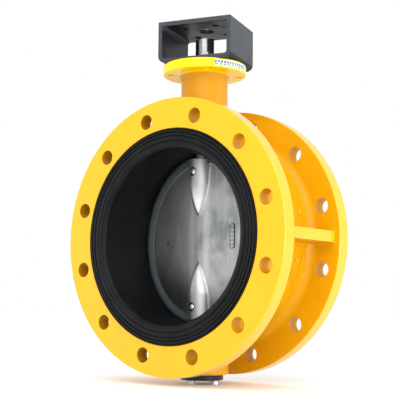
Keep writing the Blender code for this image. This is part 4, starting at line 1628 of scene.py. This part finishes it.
@dataclass
class HexScrew:
    """Sizes of a hexagon screw with its washer."""

    name: str
    diameter: float
    flats: float
    head: float
    length: float
    washer: float = 0.0012
    washer_factor: float = 2.0
    shank_chamfer: float = 0.0008
    face_share: float = 0.97
    turning_slope: float = 0.6

    def screw(self) -> Piece:
        """Screw with its shank up from the origin and a turned-down head below it."""
        shank = self.diameter / 2
        profile = [(0.0, -0.0002), (shank, -0.0002), (shank, self.length - self.shank_chamfer),
                   (shank - self.shank_chamfer, self.length), (0.0, self.length)]
        piece = lathe(self.name, profile, 32)
        corner = self.flats / math.sqrt(3.0)
        outline = [(corner * math.cos(math.tau * turn / 6), corner * math.sin(math.tau * turn / 6))
                   for turn in range(6)]
        head = sweep_prism("hex_head", outline, -self.head, 0.0)
        half = self.flats / 2
        flat = half * self.face_share
        drop = (corner - flat) * self.turning_slope
        turned = lathe("head_turning", [(0.0, OVERSHOOT), (corner + OVERSHOOT, OVERSHOOT),
                                        (corner + OVERSHOOT, -self.head + drop),
                                        (flat, -self.head), (0.0, -self.head)], 48)
        combine(head, turned, Boolean.KEEP_COMMON)
        combine(piece, head, Boolean.UNITE)
        smooth(piece)
        return piece

    def ring(self) -> Piece:
        """Flat washer under the head, below the origin."""
        inner, outer = self.diameter / 2 + FIT_GAP, self.diameter * self.washer_factor / 2
        edge = 0.0002
        profile = [(inner, -self.washer), (outer - edge, -self.washer), (outer, -self.washer + edge),
                   (outer, -edge), (outer - edge, 0.0), (inner, 0.0)]
        piece = lathe(self.name + "_ring", profile, 40)
        smooth(piece)
        return piece

    def fasten(self, assembly: Assembly, prefix: str, circle: float, angles: Sequence[float],
               seat: float, side: int) -> None:
        """Set four screws and washers on a seat, as copies of one model.

        Args:
            assembly: the assembly that they belong to.
            prefix: start of the CAD names.
            circle: radius of the screw circle.
            angles: where they stand.
            seat: height of the face under the washers.
            side: 1 where the heads point up, -1 where they point down.
        """
        screw, washer = self.screw(), self.ring()
        washer_seat = seat + side * FIT_GAP
        screw_seat = washer_seat + side * (self.washer + FIT_GAP)
        for number, angle in enumerate(angles, 1):
            spot = (circle * math.cos(angle), circle * math.sin(angle))
            turn = (math.pi if side > 0 else 0.0, 0.0, angle)
            for model, kind, height in ((screw, "screw", screw_seat), (washer, "washer", washer_seat)):
                piece = duplicate(model, f"{prefix}_hex_{kind}_{number}")
                set_down(piece, (*spot, height), turn)
                assembly.fit(piece, ZINC_PLATE, Body.SHELL, f"{prefix}_{kind}_{number}")
        for model in (screw, washer):
            bpy.data.objects.remove(model, do_unlink=True)


@dataclass
class BottomClosure(Assembly):
    """Cover, gasket and screws under the boss."""

    radius: float = 0.0313
    screw_circle: float = 0.0238
    spigot: float = 0.0173
    thickness: float = 0.0065
    edge: float = 0.0010

    def build(self) -> None:
        """Make the cover and its fasteners."""
        low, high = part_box("bottom_cover")
        face = low.z + self.thickness
        edge = self.edge
        profile = [(0.0, high.z), (self.spigot - 0.0005, high.z), (self.spigot, high.z - 0.0005),
                   (self.spigot, face), (self.radius - 0.0003, face), (self.radius, face - 0.0003)]
        profile += arc((self.radius - edge, low.z + edge), edge, 0, -90, 4)
        profile += [(0.0, low.z)]
        cover = lathe("boss_cover", profile, 96)
        hole = drill("cover_drill", 0.0033, low.z, face, 0.0003, 32)
        combine(cover, ring_of(hole, "cover_drills", self.screw_circle, quarter_angles(0.0)),
                Boolean.CUT)
        smooth(cover)
        self.fit(cover, OILED_STEEL, Body.SHELL, "bottom_cover")
        self.dress("bottom_gasket", FIBRE)
        screw_low, screw_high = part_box("cover_screw_1")
        length = screw_high.z - screw_low.z - 0.004
        screws = HexScrew("cover_screw_model", 0.006, 0.010, 0.004, length)
        screws.fasten(self, "cover", self.screw_circle, quarter_angles(0.0), low.z, -1)


@dataclass
class Bearings(Assembly):
    """Bushes, seals, gland bush and retaining ring inside the neck and the boss."""

    def build(self) -> None:
        """Dress the hidden pieces in their own metals and rubbers."""
        for node in ("neck_bush_lower", "neck_bush_upper", "boss_bush", "thrust_washer"):
            self.dress(node, BUSH_BRONZE)
        for node in ("stem_seal_lower", "stem_seal_upper", "stub_seal"):
            self.dress(node, SEAT_RUBBER)
        self.dress("gland_bush", PTFE)
        self.dress("retaining_ring", OILED_STEEL)


@dataclass
class Bracket(Assembly):
    """The welded actuator bracket on the top flange, with its screws."""

    width: float = 0.115
    depth: float = 0.099
    height: float = 0.062
    plate: float = 0.006
    bend: float = 0.010
    yaw: float = math.radians(16.2)
    shift: Point = (0.0018, 0.0014)
    base_hole: float = 0.023
    top_hole: float = 0.011
    screw_circle: float = 0.035
    pattern: float = 0.0495
    slot_half: float = 0.0046
    slot_sweep: float = 44.0
    screw: float = 0.008
    screw_flats: float = 0.013
    screw_head: float = 0.0053
    pattern_hole: float = 0.0045
    edge: float = 0.0004
    weld: float = 0.0052
    overlap: float = 0.0006           # depth of the top plate in the walls of the channel
    weld_sink: float = 0.0003
    weld_inset: float = 0.006
    ripples: int = 22
    ripple: Place = (1.0, 1.08, 0.94)
    weld_end: float = 0.8

    def build(self) -> None:
        """Bend, weld, drill and mount the bracket."""
        bracket = self.channel()
        combine(bracket, self.top_plate(), Boolean.UNITE)
        for side in (1, -1):
            combine(bracket, self.weld_bead(side), Boolean.UNITE)
        combine(bracket, self.openings(), Boolean.CUT)
        low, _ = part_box("actuator_bracket")
        set_down(bracket, (*self.shift, low.z), (0.0, 0.0, self.yaw))
        smooth(bracket)
        self.fit(bracket, BLACK_PAINT, Body.SHELL, "actuator_bracket")
        seat = low.z + self.plate
        screw_low, screw_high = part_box("bracket_screw_1")
        length = screw_high.z - screw_low.z - self.screw_head
        screws = HexScrew("bracket_screw_model", self.screw, self.screw_flats, self.screw_head,
                          length)
        screws.fasten(self, "bracket", self.screw_circle, quarter_angles(math.pi / 4), seat, 1)

    def channel(self) -> Piece:
        """Bent channel, open at the top, drawn as one outline and stretched through."""
        half = self.width / 2
        top = self.height - self.plate
        inside = self.bend - self.plate
        outer = [(-half, top)] + arc((-half + self.bend, self.bend), self.bend, 180, 270, 8)
        outer += arc((half - self.bend, self.bend), self.bend, 270, 360, 8) + [(half, top)]
        inner = [(half - self.plate, top)]
        inner += arc((half - self.bend, self.bend), inside, 360, 270, 6)
        inner += arc((-half + self.bend, self.bend), inside, 270, 180, 6)
        inner += [(-half + self.plate, top)]
        piece = sweep_prism("mount_bracket", outer + inner, -self.depth / 2, self.depth / 2)
        soften(piece, self.edge, 2, 50.0)
        return set_down(piece, turn=(math.pi / 2, 0.0, 0.0))

    def top_plate(self) -> Piece:
        """Flat plate that closes the channel."""
        thickness = self.plate + self.overlap
        plate = block("top_plate", (self.width, self.depth, thickness),
                      (0.0, 0.0, self.height - thickness / 2))
        soften(plate, self.edge, 2)
        return plate

    def weld_bead(self, side: int) -> Piece:
        """Rippled fillet weld along an inner top corner."""
        steps = self.ripples * len(self.ripple)
        reach = self.depth - self.weld_inset
        sink = self.weld_sink
        corner = (side * (self.width / 2 - self.plate + sink), self.height - self.plate + sink)
        bpy.ops.object.select_all(action="DESELECT")
        bpy.ops.mesh.primitive_circle_add(vertices=12, radius=self.weld, fill_type="NOTHING",
                                          rotation=(math.pi / 2, 0.13, 0.0),
                                          location=(corner[0], -reach / 2, corner[1]))
        bead = settle(new_piece("weld_bead"))
        radius = self.weld
        with editing(bead, "EDGE", "SELECT"):
            for step in range(1, steps + 1):
                at = -reach / 2 + reach * step / steps
                bpy.ops.mesh.extrude_region_move(
                    TRANSFORM_OT_translate={"value": (0.0, reach / steps, 0.0)})
                wanted = self.weld * self.ripple[step % len(self.ripple)]
                if step in (1, steps):
                    wanted = self.weld * self.weld_end
                ratio = wanted / radius
                bpy.ops.transform.resize(value=(ratio, 1.0, ratio),
                                         center_override=(corner[0], at, corner[1]))
                radius = wanted
        close_up(bead, True)
        return bead

    def openings(self) -> Piece:
        """Cutter for the holes and slots of the base and of the top plate."""
        top_low = self.height - self.plate
        tools = [drill("base_hole", self.base_hole, 0.0, self.plate, self.edge, 96),
                 drill("top_hole", self.top_hole, top_low, self.height, self.edge, 64)]
        corner = drill("pattern_drill", self.pattern_hole, top_low, self.height, self.edge, 32)
        tools.append(ring_of(corner, "pattern_holes", self.pattern / math.sqrt(2.0),
                             quarter_angles(math.pi / 4)))
        for number, middle in enumerate(quarter_angles(math.pi / 4)):
            tools.append(self.slot_cutter(math.degrees(middle), number))
        return join(tools, "bracket_openings")

    def slot_cutter(self, middle: float, number: int) -> Piece:
        """Cutter for one curved slot of the base.

        Args:
            middle: angle of its middle in degrees.
            number: its number.

        Returns:
            The cutter.
        """
        start, end = middle - self.slot_sweep / 2, middle + self.slot_sweep / 2
        circle, half = self.screw_circle, self.slot_half
        heads = [(circle * math.cos(math.radians(angle)), circle * math.sin(math.radians(angle)))
                 for angle in (start, end)]
        outline = arc((0.0, 0.0), circle + half, start, end, 12)
        outline += arc(heads[1], half, end, end + 180, 10)[1:-1]
        outline += arc((0.0, 0.0), circle - half, end, start, 12)
        outline += arc(heads[0], half, start - 180, start, 10)[1:-1]
        return sweep_prism(f"slot_cutter_{number}", outline, -OVERSHOOT, self.plate + OVERSHOOT)


@dataclass
class RimLabel(Assembly):
    """Printed film around part of the top flange's rim."""

    radius: float = 0.0628
    thickness: float = 0.0005
    height: float = 0.0095
    start: float = math.radians(-38.0)
    sweep: float = math.radians(58.0)
    steps: int = 32

    def build(self) -> None:
        """Spin the film's section around the flange and break its corners."""
        low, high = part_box("rim_label")
        middle = (low.z + high.z) / 2
        bpy.ops.object.select_all(action="DESELECT")
        bpy.ops.mesh.primitive_plane_add(size=1.0, rotation=(math.pi / 2, 0.0, 0.0))
        film = new_piece("label_strip")
        film.scale = (self.thickness, self.height, 1.0)
        film.location = (self.radius + self.thickness / 2, 0.0, middle)
        settle(film)
        set_down(film, turn=(0.0, 0.0, self.start))
        with editing(film, "FACE", "SELECT"):
            bpy.ops.mesh.spin(steps=self.steps, angle=self.sweep, center=(0.0, 0.0, 0.0),
                              axis=(0.0, 0.0, -1.0))
        close_up(film, False)
        soften(film, 0.00012, 1, 60.0)
        smooth(film)
        self.fit(film, FILM, Body.SHELL, "rim_label")


# ================================================================ studio
@dataclass
class Studio:
    """Camera, lights and floor of a bright product studio."""

    camera_place: Place = (0.89822, -1.12495, -0.10469)
    camera_azimuth: float = math.radians(38.812)
    camera_pitch: float = math.radians(6.481)
    camera_roll: float = math.radians(0.55)
    focal_length: float = 87.38
    world_strength: float = 1.0
    floor_size: float = 60.0

    def build(self) -> None:
        """Set up the whole studio."""
        bpy.context.scene.view_settings.view_transform = "Standard"
        self.camera()
        self.world()
        self.floor()
        self.lamp("key_light", (1.3, -2.1, 1.3), (0.0, 0.0, 0.05), (2.6, 2.6), 50.0)
        self.lamp("fill_panel", (-2.25, -1.05, 0.05), (0.0, 0.0, 0.0), (0.9, 0.9), 10.0)
        self.lamp("low_panel", (1.6, -0.25, -0.14), (0.0, 0.0, -0.08), (1.2, 0.4), 13.0)
        self.lamp("side_panel", (2.6, 1.3, 0.6), (0.0, 0.0, 0.0), (1.8, 1.6), 2.0 * math.pi * 2.9)

    def camera(self) -> None:
        """Camera at the front right, a little below the middle and looking up."""
        azimuth, pitch, roll = self.camera_azimuth, self.camera_pitch, self.camera_roll
        forward = Vector((-math.sin(azimuth) * math.cos(pitch),
                          math.cos(azimuth) * math.cos(pitch), math.sin(pitch)))
        level = Vector((math.cos(azimuth), math.sin(azimuth), 0.0))
        upright = level.cross(forward)
        right = level * math.cos(roll) + upright * math.sin(roll)
        up = upright * math.cos(roll) - level * math.sin(roll)
        turn = Matrix((right, up, -forward)).transposed().to_4x4()
        data = bpy.data.cameras.new("product_camera")
        data.lens = self.focal_length
        data.sensor_width = 36.0
        data.clip_end = 200.0
        camera = bpy.data.objects.new("product_camera", data)
        camera.matrix_world = Matrix.Translation(self.camera_place) @ turn
        bpy.context.scene.collection.objects.link(camera)
        bpy.context.scene.camera = camera

    def world(self) -> None:
        """Even white surroundings."""
        world = bpy.data.worlds.new("white_studio")
        world.use_nodes = True
        background = world.node_tree.nodes["Background"]
        background.inputs["Color"].default_value = (1.0, 1.0, 1.0, 1.0)
        background.inputs["Strength"].default_value = self.world_strength
        bpy.context.scene.world = world

    def floor(self) -> None:
        """White floor just under the lowest screw."""
        low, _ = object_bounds()
        bpy.ops.object.select_all(action="DESELECT")
        bpy.ops.mesh.primitive_plane_add(size=self.floor_size, location=(0.0, 0.0, low[2] - 0.0005))
        floor = settle(new_piece("studio_floor"))
        material = bpy.data.materials.new("floor_white")
        material.use_nodes = True
        board = Board(material)
        place = board.place()
        tone = board.blend(board.noise(place, 3.0, 2.0) * 0.5, grey(0.90), grey(0.94))
        board.surface(base_color=tone, roughness=0.75, specular_ior_level=0.2,
                      emission_color=grey(1.0), emission_strength=0.10)
        floor.data.materials.append(material)
        floor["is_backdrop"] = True

    @staticmethod
    def lamp(name: str, place: Place, aim: Place,
             size: tuple[float, float], power: float) -> None:
        """Add a rectangular soft light.

        Args:
            name: the light's name.
            place: where it stands.
            aim: what it points at.
            size: its width and height.
            power: its power in watts.
        """
        data = bpy.data.lights.new(name, "AREA")
        data.shape = "RECTANGLE"
        data.size, data.size_y = size
        data.energy = power
        lamp = bpy.data.objects.new(name, data)
        direction = Vector(aim) - Vector(place)
        lamp.location = place
        lamp.rotation_euler = direction.to_track_quat("-Z", "Y").to_euler()
        bpy.context.scene.collection.objects.link(lamp)


def main() -> None:
    """Build the valve around its frame, piece by piece, and light it."""
    logging.basicConfig(level=logging.INFO, format="%(name)s: %(message)s", stream=sys.stdout)
    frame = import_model()
    assemblies = (Casting(frame), RubberSeat(frame), DiscTrain(frame), Bearings(frame),
                  BottomClosure(frame), Bracket(frame), RimLabel(frame))
    for assembly in assemblies:
        LOG.info("building %s", type(assembly).__name__)
        assembly.build()
    Studio().build()


if __name__ == "__main__":
    main()
